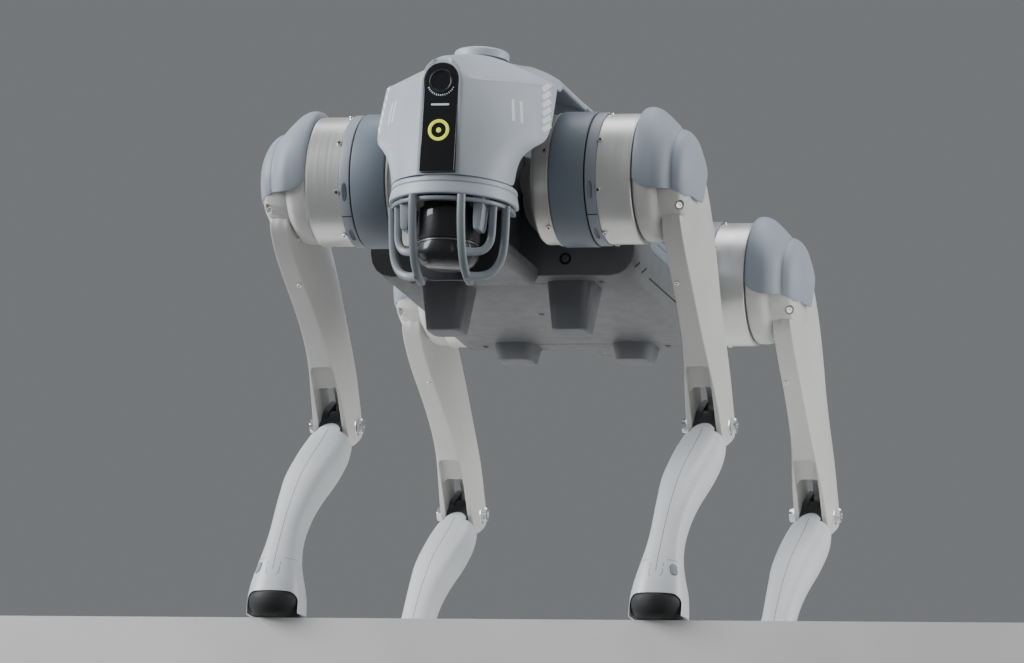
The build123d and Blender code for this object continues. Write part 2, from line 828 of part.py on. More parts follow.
for corner, side, shift, housing in (
    ("front_left", 1, 0, hip_housing.part),
    ("front_right", -1, 0, hip_housing.part),
    ("rear_left", 1, hip_spacing, rear_hip_housing),
    ("rear_right", -1, hip_spacing, rear_hip_housing),
):
    for name, solid in {"hip_housing": housing, **leg_pieces}.items():
        placed = solid if side > 0 else mirror(solid, about=Plane.YZ)
        save(placed.moved(Location((0, shift, 0))), f"{corner}_{name}")
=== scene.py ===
"""Looks of the quadruped walking robot: stage, light, materials and detailed pieces around the frame."""
import json
from math import cos, pi, radians, sin, sqrt

import bmesh
import bpy
from mathutils import Matrix, Vector
from mathutils.bvhtree import BVHTree


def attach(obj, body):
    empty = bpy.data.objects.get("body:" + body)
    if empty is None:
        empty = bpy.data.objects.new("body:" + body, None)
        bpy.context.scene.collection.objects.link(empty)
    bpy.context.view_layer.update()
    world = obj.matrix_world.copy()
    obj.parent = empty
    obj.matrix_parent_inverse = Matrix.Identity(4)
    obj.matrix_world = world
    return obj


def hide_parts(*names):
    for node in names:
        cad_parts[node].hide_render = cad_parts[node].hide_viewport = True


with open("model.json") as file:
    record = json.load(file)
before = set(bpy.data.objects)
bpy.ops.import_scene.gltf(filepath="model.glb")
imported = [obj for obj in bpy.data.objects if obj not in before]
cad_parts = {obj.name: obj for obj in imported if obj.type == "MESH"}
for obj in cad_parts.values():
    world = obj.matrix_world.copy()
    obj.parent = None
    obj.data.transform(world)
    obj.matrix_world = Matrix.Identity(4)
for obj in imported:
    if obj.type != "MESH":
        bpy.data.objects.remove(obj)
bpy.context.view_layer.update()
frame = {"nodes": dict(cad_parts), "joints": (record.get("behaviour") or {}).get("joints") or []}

link = bpy.context.scene.collection.objects.link

# ---- places, read from the frame
MM = 0.001
pivot = {joint["name"]: Vector(joint["pos_m"]) for joint in frame["joints"] if "pos_m" in joint}
hip = pivot["front_left_pitch"]
hip_spacing = (pivot["rear_left_pitch"].y - hip.y) / MM
leg_x = hip.x / MM
knee_back = (pivot["front_left_knee"].y - hip.y) / MM
knee_down = (hip.z - pivot["front_left_knee"].z) / MM
hip_height = hip.z / MM
trunk_mid = hip_spacing / 2
corners = {
    "front_left": (1, 0.0),
    "front_right": (-1, 0.0),
    "rear_left": (1, hip_spacing),
    "rear_right": (-1, hip_spacing),
}

# All shapes below are in millimetres: x from the middle plane, y behind the front hip axis, z above it.


def corner_frame(side, shift):
    """Placement of a leg's shapes at one corner."""
    return Matrix.Translation((0, hip.y + shift * MM, hip.z)) @ Matrix.Diagonal((side * MM, MM, MM, 1))


front_frame = corner_frame(1, 0.0)
rear_frame = front_frame @ Matrix.Translation((0, 2 * trunk_mid, 0)) @ Matrix.Diagonal((1, -1, 1, 1))

# ---- mesh tools


def skin(rings, wrap=True, closed=False, caps=False):
    """Points and faces of a surface through rings with equal numbers of points."""
    count = len(rings[0])
    points = [tuple(p) for ring in rings for p in ring]
    span = count if wrap else count - 1
    last = len(rings) if closed else len(rings) - 1
    faces = []
    for i in range(last):
        here, there = i * count, (i + 1) % len(rings) * count
        for j in range(span):
            k = (j + 1) % count
            faces.append((here + j, here + k, there + k, there + j))
    if caps:
        faces.append(tuple(reversed(range(count))))
        faces.append(tuple(range(len(points) - count, len(points))))
    return points, faces


def mesh_of(points, faces, merge=0.01):
    """Clean mesh with outward normals."""
    mesh = bpy.data.meshes.new("shape")
    mesh.from_pydata(points, [], faces)
    work = bmesh.new()
    work.from_mesh(mesh)
    bmesh.ops.remove_doubles(work, verts=work.verts, dist=merge)
    bmesh.ops.recalc_face_normals(work, faces=work.faces)
    work.to_mesh(mesh)
    work.free()
    return mesh


def solid(rings, merge=0.01):
    """Closed mesh through rings."""
    return mesh_of(*skin(rings, caps=True), merge=merge)


def joined(*meshes):
    """One mesh made of several."""
    work = bmesh.new()
    for mesh in meshes:
        work.from_mesh(mesh)
    result = bpy.data.meshes.new("shape")
    work.to_mesh(result)
    work.free()
    return result


def moved(mesh, matrix):
    """Copy of a mesh, placed."""
    copy = mesh.copy()
    copy.transform(matrix)
    if matrix.determinant() < 0:
        copy.flip_normals()
    return copy


def baked(mesh, *modifiers):
    """Copy of a mesh with modifiers applied, each given as a type and its settings."""
    holder = bpy.data.objects.new("holder", mesh)
    link(holder)
    for kind, settings in modifiers:
        modifier = holder.modifiers.new(kind, kind)
        for key, value in settings.items():
            setattr(modifier, key, value)
    bpy.context.view_layer.update()
    shaped = holder.evaluated_get(bpy.context.evaluated_depsgraph_get())
    result = bpy.data.meshes.new_from_object(shaped)
    bpy.data.objects.remove(holder)
    return result


def combined(mesh, tool, operation="DIFFERENCE"):
    """Boolean of two meshes."""
    cutter = bpy.data.objects.new("cutter", tool)
    link(cutter)
    result = baked(mesh, ("BOOLEAN", {"object": cutter, "operation": operation, "solver": "EXACT"}))
    bpy.data.objects.remove(cutter)
    return result


def rounded(mesh, width, angle=30, segments=3):
    """Mesh with its sharp edges rounded."""
    settings = {"width": width, "segments": segments, "limit_method": "ANGLE", "angle_limit": radians(angle)}
    return baked(mesh, ("BEVEL", settings))


def subdivided(mesh, levels):
    """Mesh smoothed by a subdivision surface."""
    return baked(mesh, ("SUBSURF", {"levels": levels, "render_levels": levels}))


def key_of(point):
    """Point rounded, for looking it up."""
    return tuple(round(c, 2) for c in point)


def crease(mesh, chosen, weight):
    """Sharpen the edges whose two end points satisfy a test."""
    layer = mesh.attributes.get("crease_edge") or mesh.attributes.new("crease_edge", "FLOAT", "EDGE")
    for edge in mesh.edges:
        first, second = (mesh.vertices[i].co for i in edge.vertices)
        if chosen(first, second):
            layer.data[edge.index].value = weight
    return mesh


def flowing(points, steps=5):
    """Smooth run of values through given rows of numbers, by a Catmull-Rom curve."""
    rows = [Vector(p) for p in points]
    result = []
    for i in range(len(rows) - 1):
        before, a, b, after = rows[max(i - 1, 0)], rows[i], rows[i + 1], rows[min(i + 2, len(rows) - 1)]
        for step in range(steps):
            t = step / steps
            result.append(
                0.5 * (2 * a + (b - before) * t + (2 * before - 5 * a + 4 * b - after) * t**2
                       + (3 * a - before - 3 * b + after) * t**3)
            )
    result.append(rows[-1])
    return result


def turned_through(start, end, steps, ring_at):
    """Surface of rings at even angles between two, closed when it goes all the way round."""
    full = end - start >= 360
    angles = [radians(start + (end - start) * step / steps) for step in range(steps if full else steps + 1)]
    return mesh_of(*skin([ring_at(a) for a in angles], wrap=False, closed=full))


def lathe_across(profile, steps=120):
    """Turned surface about a lateral axis; profile as (x, radius). Angle 0 is ahead, 90 is up."""
    return turned_through(0, 360, steps, lambda a: [(x, -r * cos(a), r * sin(a)) for x, r in profile])


def lathe_upright(profile, centre=(0, 0), start=0, end=360, steps=96):
    """Turned surface about a vertical axis; profile as (radius, z). Angle 0 is ahead."""
    x, y = centre
    return turned_through(start, end, steps, lambda a: [(x + r * sin(a), y - r * cos(a), z) for r, z in profile])


def prism(outline, low, high, matrix=None):
    """Solid between two heights over a flat outline, placed by a matrix."""
    rings = [[(x, y, z) for x, y in outline] for z in (low, high)]
    mesh = solid(rings)
    return moved(mesh, matrix) if matrix else mesh


def basis(origin, x_axis, z_axis):
    """Matrix of a local frame from its origin and two axes."""
    z = Vector(z_axis).normalized()
    x = (Vector(x_axis) - z * z.dot(Vector(x_axis))).normalized()
    y = z.cross(x)
    return Matrix.Translation(origin) @ Matrix((x, y, z)).transposed().to_4x4()


sideways = basis((0, 0, 0), (0, 1, 0), (1, 0, 0))
ahead = basis((0, 0, 0), (1, 0, 0), (0, -1, 0))
mirror = Matrix.Diagonal((-1, 1, 1, 1))


def arc_points(centre, radius, start, end, steps=12):
    """Points along an arc in a plane, by degrees."""
    angles = [radians(start + (end - start) * i / steps) for i in range(steps + 1)]
    return [(centre[0] + radius * cos(a), centre[1] + radius * sin(a)) for a in angles]


def round_box(half_x, half_y, radius, steps=6):
    """Outline of a rectangle with round corners."""
    outline = []
    for sx, sy, start in ((1, 1, 0), (-1, 1, 90), (-1, -1, 180), (1, -1, 270)):
        outline += arc_points((sx * (half_x - radius), sy * (half_y - radius)), radius, start, start + 90, steps)
    return outline


def rod(path, width, height, up):
    """Bar with a rounded section swept along points."""
    rings = []
    for i, spot in enumerate(path):
        heading = (path[min(i + 1, len(path) - 1)] - path[max(i - 1, 0)]).normalized()
        side = heading.cross(Vector(up)).normalized()
        top = side.cross(heading)
        outline = round_box(width / 2, height / 2, 0.45 * min(width, height), 3)
        rings.append([spot + side * u + top * v for u, v in outline])
    return solid(rings)


def surface_strip(surface, spots, direction, width, lift=0.06):
    """Thin band laid on a surface: each spot is thrown onto it along a direction."""
    throw = Vector(direction).normalized()
    hits = [surface.ray_cast(Vector(spot) - 200 * throw, throw) for spot in spots]
    hits = [(place, normal) for place, normal, *_ in hits if place is not None]
    rings = []
    for i, (place, normal) in enumerate(hits):
        heading = (hits[min(i + 1, len(hits) - 1)][0] - hits[max(i - 1, 0)][0]).normalized()
        side = heading.cross(normal).normalized() * width / 2
        top = normal * lift
        rings.append([place + side + top, place - side + top, place - side - 4 * top, place + side - 4 * top])
    return solid(rings, merge=0.0001)


def tree_of(mesh):
    """Search tree of a mesh, for laying things on its surface."""
    return BVHTree.FromPolygons([v.co for v in mesh.vertices], [p.vertices for p in mesh.polygons])


# ---- placing pieces


def put(mesh, name, body, placement, material, slot, *replaced, smooth=35):
    """Add a detailed piece that rides on a body and may stand for CAD nodes."""
    data = moved(mesh, placement)
    data.name = name
    data.shade_smooth()
    data.set_sharp_from_angle(angle=radians(smooth))
    data.materials.clear()
    data.materials.append(material)
    piece = bpy.data.objects.new(name, data)
    link(piece)
    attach(piece, body)
    if replaced:
        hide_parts(*replaced)
    return piece


def on_each_leg(mesh, name, part, material, slot, *replaced, smooth=35):
    """Add a leg piece at all four corners, mirrored on the right."""
    for corner, place in corners.items():
        nodes = [f"{corner}_{node}" for node in replaced]
        put(mesh, f"{corner}_{name}", f"{corner}_{part}", corner_frame(*place), material, slot, *nodes, smooth=smooth)


def on_trunk(mesh, name, material, slot, *replaced, place=front_frame, smooth=35):
    """Add a piece of the trunk, laid out from the front hips or mirrored to the rear."""
    put(mesh, name, "trunk", place, material, slot, *replaced, smooth=smooth)


# ---- materials


class Nodes:
    """Short way of building a material's nodes."""

    def __init__(self, name, **values):
        self.material = bpy.data.materials.new(name)
        self.material.use_nodes = True
        self.tree = self.material.node_tree
        self.shader = self.tree.nodes["Principled BSDF"]
        self.place = self.tree.nodes.new("ShaderNodeTexCoord").outputs["Object"]
        for key, value in values.items():
            self.shader.inputs[key.replace("_", " ")].default_value = value

    def node(self, kind, source, socket, **values):
        """New node fed by a source, with fixed values by socket name."""
        node = self.tree.nodes.new(f"ShaderNode{kind}")
        for key, value in values.items():
            node.inputs[key.replace("_", " ")].default_value = value
        self.tree.links.new(source, node.inputs[socket])
        return node

    def noise(self, scale, detail=3.0, roughness=0.5, stretch=None):
        """Noise between 0 and 1."""
        place = self.place
        if stretch:
            place = self.node("Mapping", place, "Vector", Scale=stretch).outputs["Vector"]
        return self.node("TexNoise", place, "Vector", Scale=scale, Detail=detail, Roughness=roughness).outputs["Fac"]

    def cells(self, scale):
        """Distance to the nearest cell centre."""
        return self.node("TexVoronoi", self.place, "Vector", Scale=scale).outputs["Distance"]

    def spread(self, source, low, high, start=0.3, end=0.7):
        """Source mapped to a range."""
        ends = {"From_Min": start, "From_Max": end, "To_Min": low, "To_Max": high}
        return self.node("MapRange", source, "Value", **ends).outputs["Result"]

    def between(self, source, first, second, start=0.3, end=0.7):
        """Colour between two colours."""
        node = self.tree.nodes.new("ShaderNodeMix")
        node.data_type = "RGBA"
        node.inputs["A"].default_value = (*first, 1)
        node.inputs["B"].default_value = (*second, 1)
        self.tree.links.new(self.spread(source, 0, 1, start, end), node.inputs["Factor"])
        return node.outputs["Result"]

    def use(self, source, socket):
        """Feed a shader socket."""
        self.tree.links.new(source, self.shader.inputs[socket])

    def tint(self, source, colour, low, high):
        """Base colour that varies between two shades."""
        self.use(self.between(source, shade(colour, low), shade(colour, high)), "Base Color")

    def gloss(self, source, low, high):
        """Roughness that varies between two values."""
        self.use(self.spread(source, low, high), "Roughness")

    def bump(self, source, strength, distance):
        """Surface relief from a height, after any relief added before."""
        node = self.node("Bump", source, "Height", Strength=strength, Distance=distance)
        if self.shader.inputs["Normal"].links:
            self.tree.links.new(self.shader.inputs["Normal"].links[0].from_socket, node.inputs["Normal"])
        self.use(node.outputs["Normal"], "Normal")


def shade(colour, factor):
    """Colour made lighter or darker."""
    return tuple(min(channel * factor, 1.0) for channel in colour)


def moulded(name, colour, roughness, grain=900, relief=0.00004, coat=0.0):
    """Moulded or painted plastic: fine orange peel, slight clouding and rubbed patches."""
    look = Nodes(name, Metallic=0.0, IOR=1.47, Coat_Weight=coat, Coat_Roughness=0.25)
    look.tint(look.noise(9, 4), colour, 0.94, 1.05)
    look.gloss(look.noise(60, 5, 0.65), roughness - 0.06, roughness + 0.07)
    look.bump(look.noise(grain, 2), 0.35, relief)
    look.bump(look.noise(35, 2), 0.15, relief * 4)
    return look.material


def turned(name, colour, roughness, lines=420):
    """Bead-blasted and turned metal with faint rings around the lateral axis."""
    look = Nodes(name, Metallic=0.72, IOR=1.5)
    rings = look.noise(lines, 3, 0.6, stretch=(1.0, 0.012, 0.012))
    look.tint(look.noise(14, 4), colour, 0.95, 1.04)
    look.gloss(rings, roughness - 0.05, roughness + 0.06)
    look.bump(rings, 0.12, 0.00003)
    look.bump(look.noise(2600, 1), 0.25, 0.00002)
    return look.material


def cast(name, colour, roughness, metallic=0.6):
    """Coated cast metal with a coarse grain."""
    look = Nodes(name, Metallic=metallic, IOR=1.5)
    look.tint(look.noise(30, 5), colour, 0.8, 1.2)
    look.gloss(look.noise(140, 4), roughness - 0.1, roughness + 0.1)
    look.bump(look.cells(900), 0.3, 0.00006)
    return look.material


def satin_steel(name, colour, roughness):
    """Satin steel bar with rubbed streaks."""
    look = Nodes(name, Metallic=0.85, IOR=2.0)
    streaks = look.noise(300, 4, 0.6, stretch=(0.15, 0.15, 1.0))
    look.tint(look.noise(20, 4), colour, 0.88, 1.08)
    look.gloss(streaks, roughness - 0.08, roughness + 0.1)
    look.bump(streaks, 0.15, 0.00003)
    return look.material


def glossy(name, colour, roughness=0.06):
    """Polished dark window or lens, with faint smears in the gloss."""
    look = Nodes(name, Metallic=0.0, IOR=1.5, Coat_Weight=0.6, Coat_Roughness=0.03)
    smears = look.noise(18, 5, 0.6)
    look.tint(smears, colour, 1, 1.25)
    look.gloss(smears, roughness, roughness + 0.05)
    return look.material


def rubber_like(name, colour):
    """Matte rubber with a dusty, pitted skin."""
    look = Nodes(name, Metallic=0.0, IOR=1.5, Sheen_Weight=0.15, Sheen_Roughness=0.5)
    dust = look.noise(45, 6, 0.65)
    look.use(look.between(dust, colour, shade(colour, 2.2), 0.45, 0.85), "Base Color")
    look.gloss(dust, 0.5, 0.72)
    look.bump(look.cells(1100), 0.35, 0.00008)
    return look.material


def glowing(name, colour, strength):
    """Lamp ring that glows a little more on one side of its diffuser."""
    look = Nodes(name, Roughness=0.35, Emission_Strength=strength)
    glow = look.noise(160, 3)
    look.tint(glow, colour, 0.8, 1)
    look.use(look.between(glow, shade(colour, 0.85), shade(colour, 1.1)), "Emission Color")
    return look.material


head_grey = moulded("head_grey", (0.47, 0.51, 0.56), 0.42)
shoulder_grey = moulded("shoulder_grey", (0.40, 0.44, 0.49), 0.45)
housing_grey = moulded("housing_grey", (0.20, 0.235, 0.28), 0.42)
ring_grey = moulded("ring_grey", (0.30, 0.335, 0.375), 0.4)
cover_grey = moulded("cover_grey", (0.33, 0.37, 0.425), 0.5, grain=700, relief=0.00007)
thigh_paint = moulded("thigh_paint", (0.66, 0.655, 0.63), 0.36, grain=1300, relief=0.00002, coat=0.15)
calf_paint = moulded("calf_paint", (0.72, 0.745, 0.775), 0.36, grain=1300, relief=0.00002, coat=0.12)
belly_grey = moulded("belly_grey", (0.125, 0.13, 0.135), 0.46)
rest_grey = moulded("rest_grey", (0.12, 0.125, 0.135), 0.44)
mark_paint = moulded("mark_paint", (0.86, 0.90, 0.93), 0.5)
black_plastic = moulded("black_plastic", (0.012, 0.012, 0.014), 0.4)
wall_black = moulded("wall_black", (0.022, 0.024, 0.030), 0.5)
seam_black = moulded("seam_black", (0.006, 0.007, 0.008), 0.7)
seam_soft = moulded("seam_soft", (0.20, 0.21, 0.22), 0.6)
can_silver = turned("can_silver", (0.80, 0.79, 0.77), 0.34)
drum_silver = turned("drum_silver", (0.74, 0.72, 0.68), 0.38)
knuckle_metal = cast("knuckle_metal", (0.075, 0.08, 0.085), 0.48)
inner_metal = cast("inner_metal", (0.16, 0.165, 0.17), 0.5)
link_metal = cast("link_metal", (0.78, 0.78, 0.77), 0.36, metallic=0.3)
cage_paint = moulded("cage_paint", (0.215, 0.25, 0.27), 0.36, grain=1500, relief=0.00002, coat=0.1)
chrome = satin_steel("chrome", (0.86, 0.87, 0.89), 0.16)
window_black = glossy("window_black", (0.006, 0.007, 0.009))
lens_black = glossy("lens_black", (0.003, 0.003, 0.005), 0.03)
scanner_black = glossy("scanner_black", (0.0025, 0.0025, 0.003), 0.5)
rubber = rubber_like("rubber", (0.012, 0.012, 0.013))
lamp_yellow = glowing("lamp_yellow", (0.62, 0.68, 0.05), 0.9)

# ---- fasteners


def hexagon(a):
    """Corner-to-flat ratio of a hexagon at an angle."""
    return cos(pi / 6) / cos((a % (pi / 3)) - pi / 6)


def cap_screw(radius=2.6, height=2.4):
    """Head of a socket screw standing on z = 0, with a hexagonal socket."""
    rim = [(0, 0), (radius, 0), (radius, height * 0.75), (radius * 0.88, height), (radius * 0.55, height),
           (radius * 0.5, height * 0.4), (0, height * 0.35)]
    rings = []
    for step in range(24):
        a = 2 * pi * step / 24
        shares = [hexagon(a) if i in (4, 5) else 1 for i in range(len(rim))]
        rings.append([(r * share * cos(a), r * share * sin(a), z) for (r, z), share in zip(rim, shares)])
    return mesh_of(*skin(rings, wrap=False, closed=True))


def stand_on(mesh, spot, normal):
    """Place a fastener with its axis along a normal."""
    tilt = Vector((0, 0, 1)).rotation_difference(Vector(normal).normalized()).to_matrix().to_4x4()
    return moved(mesh, Matrix.Translation(spot) @ tilt)


screw = cap_screw()
# black hexagon filling each screw's socket: painted shade in the socket
socket_shade = lathe_upright([(0, 1.7), (1.35, 1.7), (1.35, 2.42), (0, 2.42)], steps=6)

# ---- hips
drum_r = 63.0
inner_drum = lathe_across([(62, 0), (62, 58), (62.8, 61), (65, 62.8), (67, drum_r), (78.6, drum_r),
                           (79.0, 64.4), (81.0, 64.4), (81.5, 63.6), (81.5, 50)])
boss = [(0, -67.9), (28, -67.9), (30, -66), (30, -52), (30, 0), (0, 0)]
roll_boss = moved(lathe_upright(boss), Matrix.Translation((66, 0, 0)) @ Matrix.Rotation(radians(90), 4, "X"))
housing = lathe_across([(81.8, 50), (81.8, 63.6), (82.3, 64.9), (83.6, 65.5), (115.0, 65.5), (116.0, 65.2),
                        (116.4, 64.2), (116.4, 61), (117.6, 61)])
seam_ring = lathe_across([(116.35, 60), (116.35, 64.0), (117.75, 64.0), (117.75, 60)], steps=96)
ring_profile = [(117.7, 60), (117.7, 63.9), (118.3, 64.5), (126.8, 64.5), (127.6, 64.1), (128.0, 63.2), (128.0, 60)]
clamp_ring = lathe_across(ring_profile, steps=160)
can = lathe_across([(128.0, 58), (128.0, 62.3), (128.7, 63), (160.4, 63), (160.7, 62.6), (161.1, 62.9),
                    (161.9, 62.9), (162.4, 62.2), (162.4, 20)])


def dimple(angle):
    """Almond-shaped pocket cutter on the clamp ring, centred at an angle."""
    rings = []
    for i in range(13):
        along = -1 + 2 * i / 12
        a = radians(angle) + along * 9.5 / 64.5
        half = 2.7 * sqrt(max(1 - abs(along) ** 2.2, 0.0004))
        depth = 3.6 * sqrt(max(1 - along**2, 0.0004))
        ring = []
        for k in range(16):
            b = 2 * pi * k / 16
            r = 64.5 + depth * sin(b)
            ring.append((122.6 + half * cos(b), -r * cos(a), r * sin(a)))
        rings.append(ring)
    return solid(rings, merge=0.0001)


for angle in (-22.5, -67.5, 112.5, 157.5):
    clamp_ring = combined(clamp_ring, dimple(angle))

split_lines = []
for angle in (-45, 135):
    a = radians(angle)
    plate = prism(round_box(4.9, 0.45, 0.3), 62.0, 64.62)
    split_lines.append(moved(plate, basis((122.9, 0, 0), (1, 0, 0), (0, -cos(a), sin(a)))))
ring_splits = joined(*split_lines)

motor_screws, screw_socket_shades = [], []
for x, radius, first, spacing in ((130.6, 62.5, 22.5, 45), (76.4, 62.2, 12.5, 72)):
    for step in range(360 // spacing):
        a = radians(first - spacing * step)
        outward = Vector((0, -cos(a), sin(a)))
        motor_screws.append(stand_on(screw, Vector((x, 0, 0)) + outward * radius, outward))
        screw_socket_shades.append(stand_on(socket_shade, Vector((x, 0, 0)) + outward * radius, outward))
motor_screws, screw_socket_shades = joined(*motor_screws), joined(*screw_socket_shades)

on_each_leg(inner_drum, "roll_drum", "hip", drum_silver, "satin_silver", "hip_housing")
for corner, (side, shift) in corners.items():
    turned_boss = moved(roll_boss, Matrix.Diagonal((1, -1 if shift else 1, 1, 1)))
    put(turned_boss, f"{corner}_roll_boss", f"{corner}_hip", corner_frame(side, shift), drum_silver, "satin_silver",
        f"{corner}_hip_housing")
on_each_leg(housing, "hip_cover_ring", "hip", housing_grey, "shell_dark")
on_each_leg(seam_ring, "hip_seam", "hip", seam_black, "black_plastic")
on_each_leg(clamp_ring, "clamp_ring", "hip", ring_grey, "shell_dark", smooth=30)
on_each_leg(ring_splits, "clamp_ring_split", "hip", seam_black, "black_plastic")
on_each_leg(can, "motor_can", "hip", can_silver, "satin_silver", "thigh_motor")
on_each_leg(motor_screws, "hip_screws", "hip", chrome, "chrome")
# painted shade: black hexagons in the sockets of the hip screws
on_each_leg(screw_socket_shades, "hip_screw_socket_shades", "hip", seam_black, "black_plastic")

# ---- thigh cover
crest_profile = [(163.2, 60.5), (163.4, 65.5), (165.5, 68.4), (171, 69.2), (178, 66.8), (185, 61.0), (192, 54.0),
                 (197.5, 47.6), (201, 47.2), (207, 43.5), (212.5, 35.0), (217, 23.0), (219.3, 10.0), (219.8, 0)]
front_profile = [(163.2, 59.5), (163.4, 61.2), (165.5, 62.8), (171, 64.0), (178, 64.6), (185, 64.4), (192, 61.0),
                 (198.5, 54.0), (202, 53.0), (208, 50.0), (213, 43.0), (216.6, 33.0), (218.8, 19.0), (219.8, 0)]
front_edge = [-12, -12, -14, -17.5, -20, -21, -22, -23.5, -25.5, -30, -37, -42, -44, -44]
back_edge = [162, 162, 162, 161, 160, 159, 158, 156, 156, 155, 152, 148, 140, 140]


def bulge(t):
    """Smooth step from 0 to 1."""
    t = min(max(t, 0.0), 1.0)
    return t * t * (3 - 2 * t)


def cover_sheet(rows=36):
    """Double-humped skin over the top of the thigh drum."""
    crest = flowing(crest_profile, 4)
    flank = flowing(front_profile, 4)
    fore = flowing([(a, 0) for a in front_edge], 4)
    aft = flowing([(a, 0) for a in back_edge], 4)
    rings = []
    for row in range(rows + 1):
        ring = []
        for top, low, first, last in zip(crest, flank, fore, aft):
            angle = first.x + (last.x - first.x) * row / rows
            weight = bulge((abs(angle - 92) - 20) / 80)
            x = top.x + (low.x - top.x) * weight
            r = top.y + (low.y - top.y) * weight
            a = radians(angle)
            sink = 24 * max(1 - r / 37, 0)
            ring.append((x, -max(r, 0) * cos(a), max(r, 0) * sin(a) - sink))
        rings.append(ring)
    return mesh_of(*skin(rings, wrap=False), merge=0.001)


soft_cover = baked(cover_sheet(), ("SOLIDIFY", {"thickness": 2.4, "offset": -1.0}),
                   ("BEVEL", {"width": 0.9, "segments": 3, "limit_method": "ANGLE", "angle_limit": radians(50)}))
on_each_leg(soft_cover, "soft_cover", "thigh", cover_grey, "shell_dark", "thigh_cover", smooth=50)

# ---- thigh
thigh_length = sqrt(knee_back**2 + knee_down**2)
along = Vector((0, knee_back, -knee_down)) / thigh_length
across = Vector((0, knee_down, knee_back)) / thigh_length


def in_thigh(s, d, x=0.0):
    """Point s along the thigh line, d behind it and x to the side of its middle."""
    return Vector((leg_x + x, 0, 0)) + along * s + across * d


def thigh_section(s, width, depth, offset, outward, flat):
    """Control points around the thigh: narrow flat front, flanks that widen to the back, and a round back."""
    w, h = width / 2 * 1.03, depth / 2 * 1.03
    right = [(flat, -1.0), (0.5 + flat / 2, -0.62), (1.0, -0.05), (1.08, 0.5), (0.78, 0.96)]
    outline = [(0.0, -1.0)] + right + [(0.0, 1.05)] + [(-u, v) for u, v in reversed(right)]
    return [in_thigh(s, offset + h * v, outward + w * u) for u, v in outline]


# distance along the thigh, lateral width, depth, offset behind the hip-knee line, outward shift, width of the front
thigh_stations = [
    (4, 35, 92, -8, 5.5, 0.52), (30, 35, 96, -7, 6, 0.52), (62, 35.5, 94, -3, 5.5, 0.52), (100, 35.5, 84, 4, 4, 0.52),
    (140, 35, 72, 9, 2, 0.54), (178, 36, 60, 11, 1, 0.58), (206, 39, 55, 10, 0.5, 0.64),
    (230, 42, 49, 6.5, 0, 0.72), (252, 43, 45, 2.5, 0, 0.76), (272, 43, 44, 0, 0, 0.78), (286, 42.5, 36, 0, 0, 0.78),
    (294, 39, 17, 0, 0, 0.78),
]
thigh_rings = [thigh_section(*station) for station in thigh_stations]
thigh_arm = solid(thigh_rings)
front_ridge = {key_of(ring[i]) for ring in thigh_rings[:-1] for i in (1, 11)}
thigh_arm = crease(thigh_arm, lambda a, b: {key_of(a), key_of(b)} <= front_ridge and abs(a.x - b.x) < 6, 0.6)
thigh_arm = subdivided(thigh_arm, 3)
drum_profile = flowing([(163.1, 0), (163.1, 30), (163.1, 55.0), (164.2, 59.6), (167, 60.8), (174, 61.0),
                        (180, 59.4), (185, 54.0), (190, 45.0), (196, 40.5), (202, 38.5), (207, 35.0), (211, 27.0),
                        (213.5, 14.0), (214, 0)], 4)
thigh_drum = lathe_across([(p.x, max(p.y, 0)) for p in drum_profile])
cheek_rings = []
for step in range(25):
    a = radians(-13 - 4 * step)
    cheek_rings.append([(x, -r * cos(a), r * sin(a)) for x, r in
                        ((180, 20), (180, 50.5), (187, 52.5), (205.5, 51.5), (208, 49.5), (213.5, 40), (214.5, 20))])
thigh_cheek = solid(cheek_rings)
thigh_body = combined(combined(thigh_arm, thigh_drum, "UNION"), thigh_cheek, "UNION")

slot_half = 12.0
slot_top = 225.0
slot_end = 330.0
slot_corner = 6.0
slot_arch = arc_points((slot_corner - slot_half, -slot_corner), slot_corner, 180, 90, 6)
slot_arch += arc_points((slot_half - slot_corner, -slot_corner), slot_corner, 90, 0, 6)
slot_outline = [(-slot_half, slot_end)] + [(x, slot_top - y) for x, y in slot_arch] + [(slot_half, slot_end)]
thigh_plane = Matrix.Translation((leg_x, 0, 0)) @ Matrix((Vector((1, 0, 0)), along, across)).transposed().to_4x4()
thigh_body = combined(thigh_body, prism(slot_outline, -70, 70, thigh_plane))
pocket_outline = [(x, 218 + y) for x, y in round_box(slot_half, 22.0, slot_corner)]
thigh_body = combined(thigh_body, prism(pocket_outline, -70, -9.0, thigh_plane))


def eye_cutter(spot, normal, radius, depth):
    """Round blind hole cutter."""
    return stand_on(lathe_upright([(0, -depth), (radius * 0.9, -depth), (radius, 1.5), (radius, 8), (0, 8)]), spot,
                    normal)


eye_spot = Vector((206.5, -38, -35))
eye_normal = Vector((0.45, -0.85, -0.2))
thigh_tree = tree_of(thigh_body)
eye_place = thigh_tree.ray_cast(eye_spot + Vector((0, -200, 0)), Vector((0, 1, 0)))[0]
thigh_body = combined(thigh_body, eye_cutter(eye_place, eye_normal, 5.2, 5.0))
on_each_leg(thigh_body, "thigh_form", "thigh", thigh_paint, "warm_silver", "thigh_shell", smooth=38)

thigh_screws = [stand_on(cap_screw(3.2, 2.4), eye_place - eye_normal.normalized() * 4.6, eye_normal)]
for x, y, z in ((184, -2, -56), (190.5, 20, -96)):
    place, facing = thigh_tree.ray_cast(Vector((x, y - 300, z)), Vector((0, 1, 0)))[:2]
    thigh_screws.append(stand_on(screw, place - facing, facing))
on_each_leg(joined(*thigh_screws), "thigh_screws", "thigh", chrome, "chrome")

# ---- knee bolt
knee = Vector((leg_x, knee_back, -knee_down))


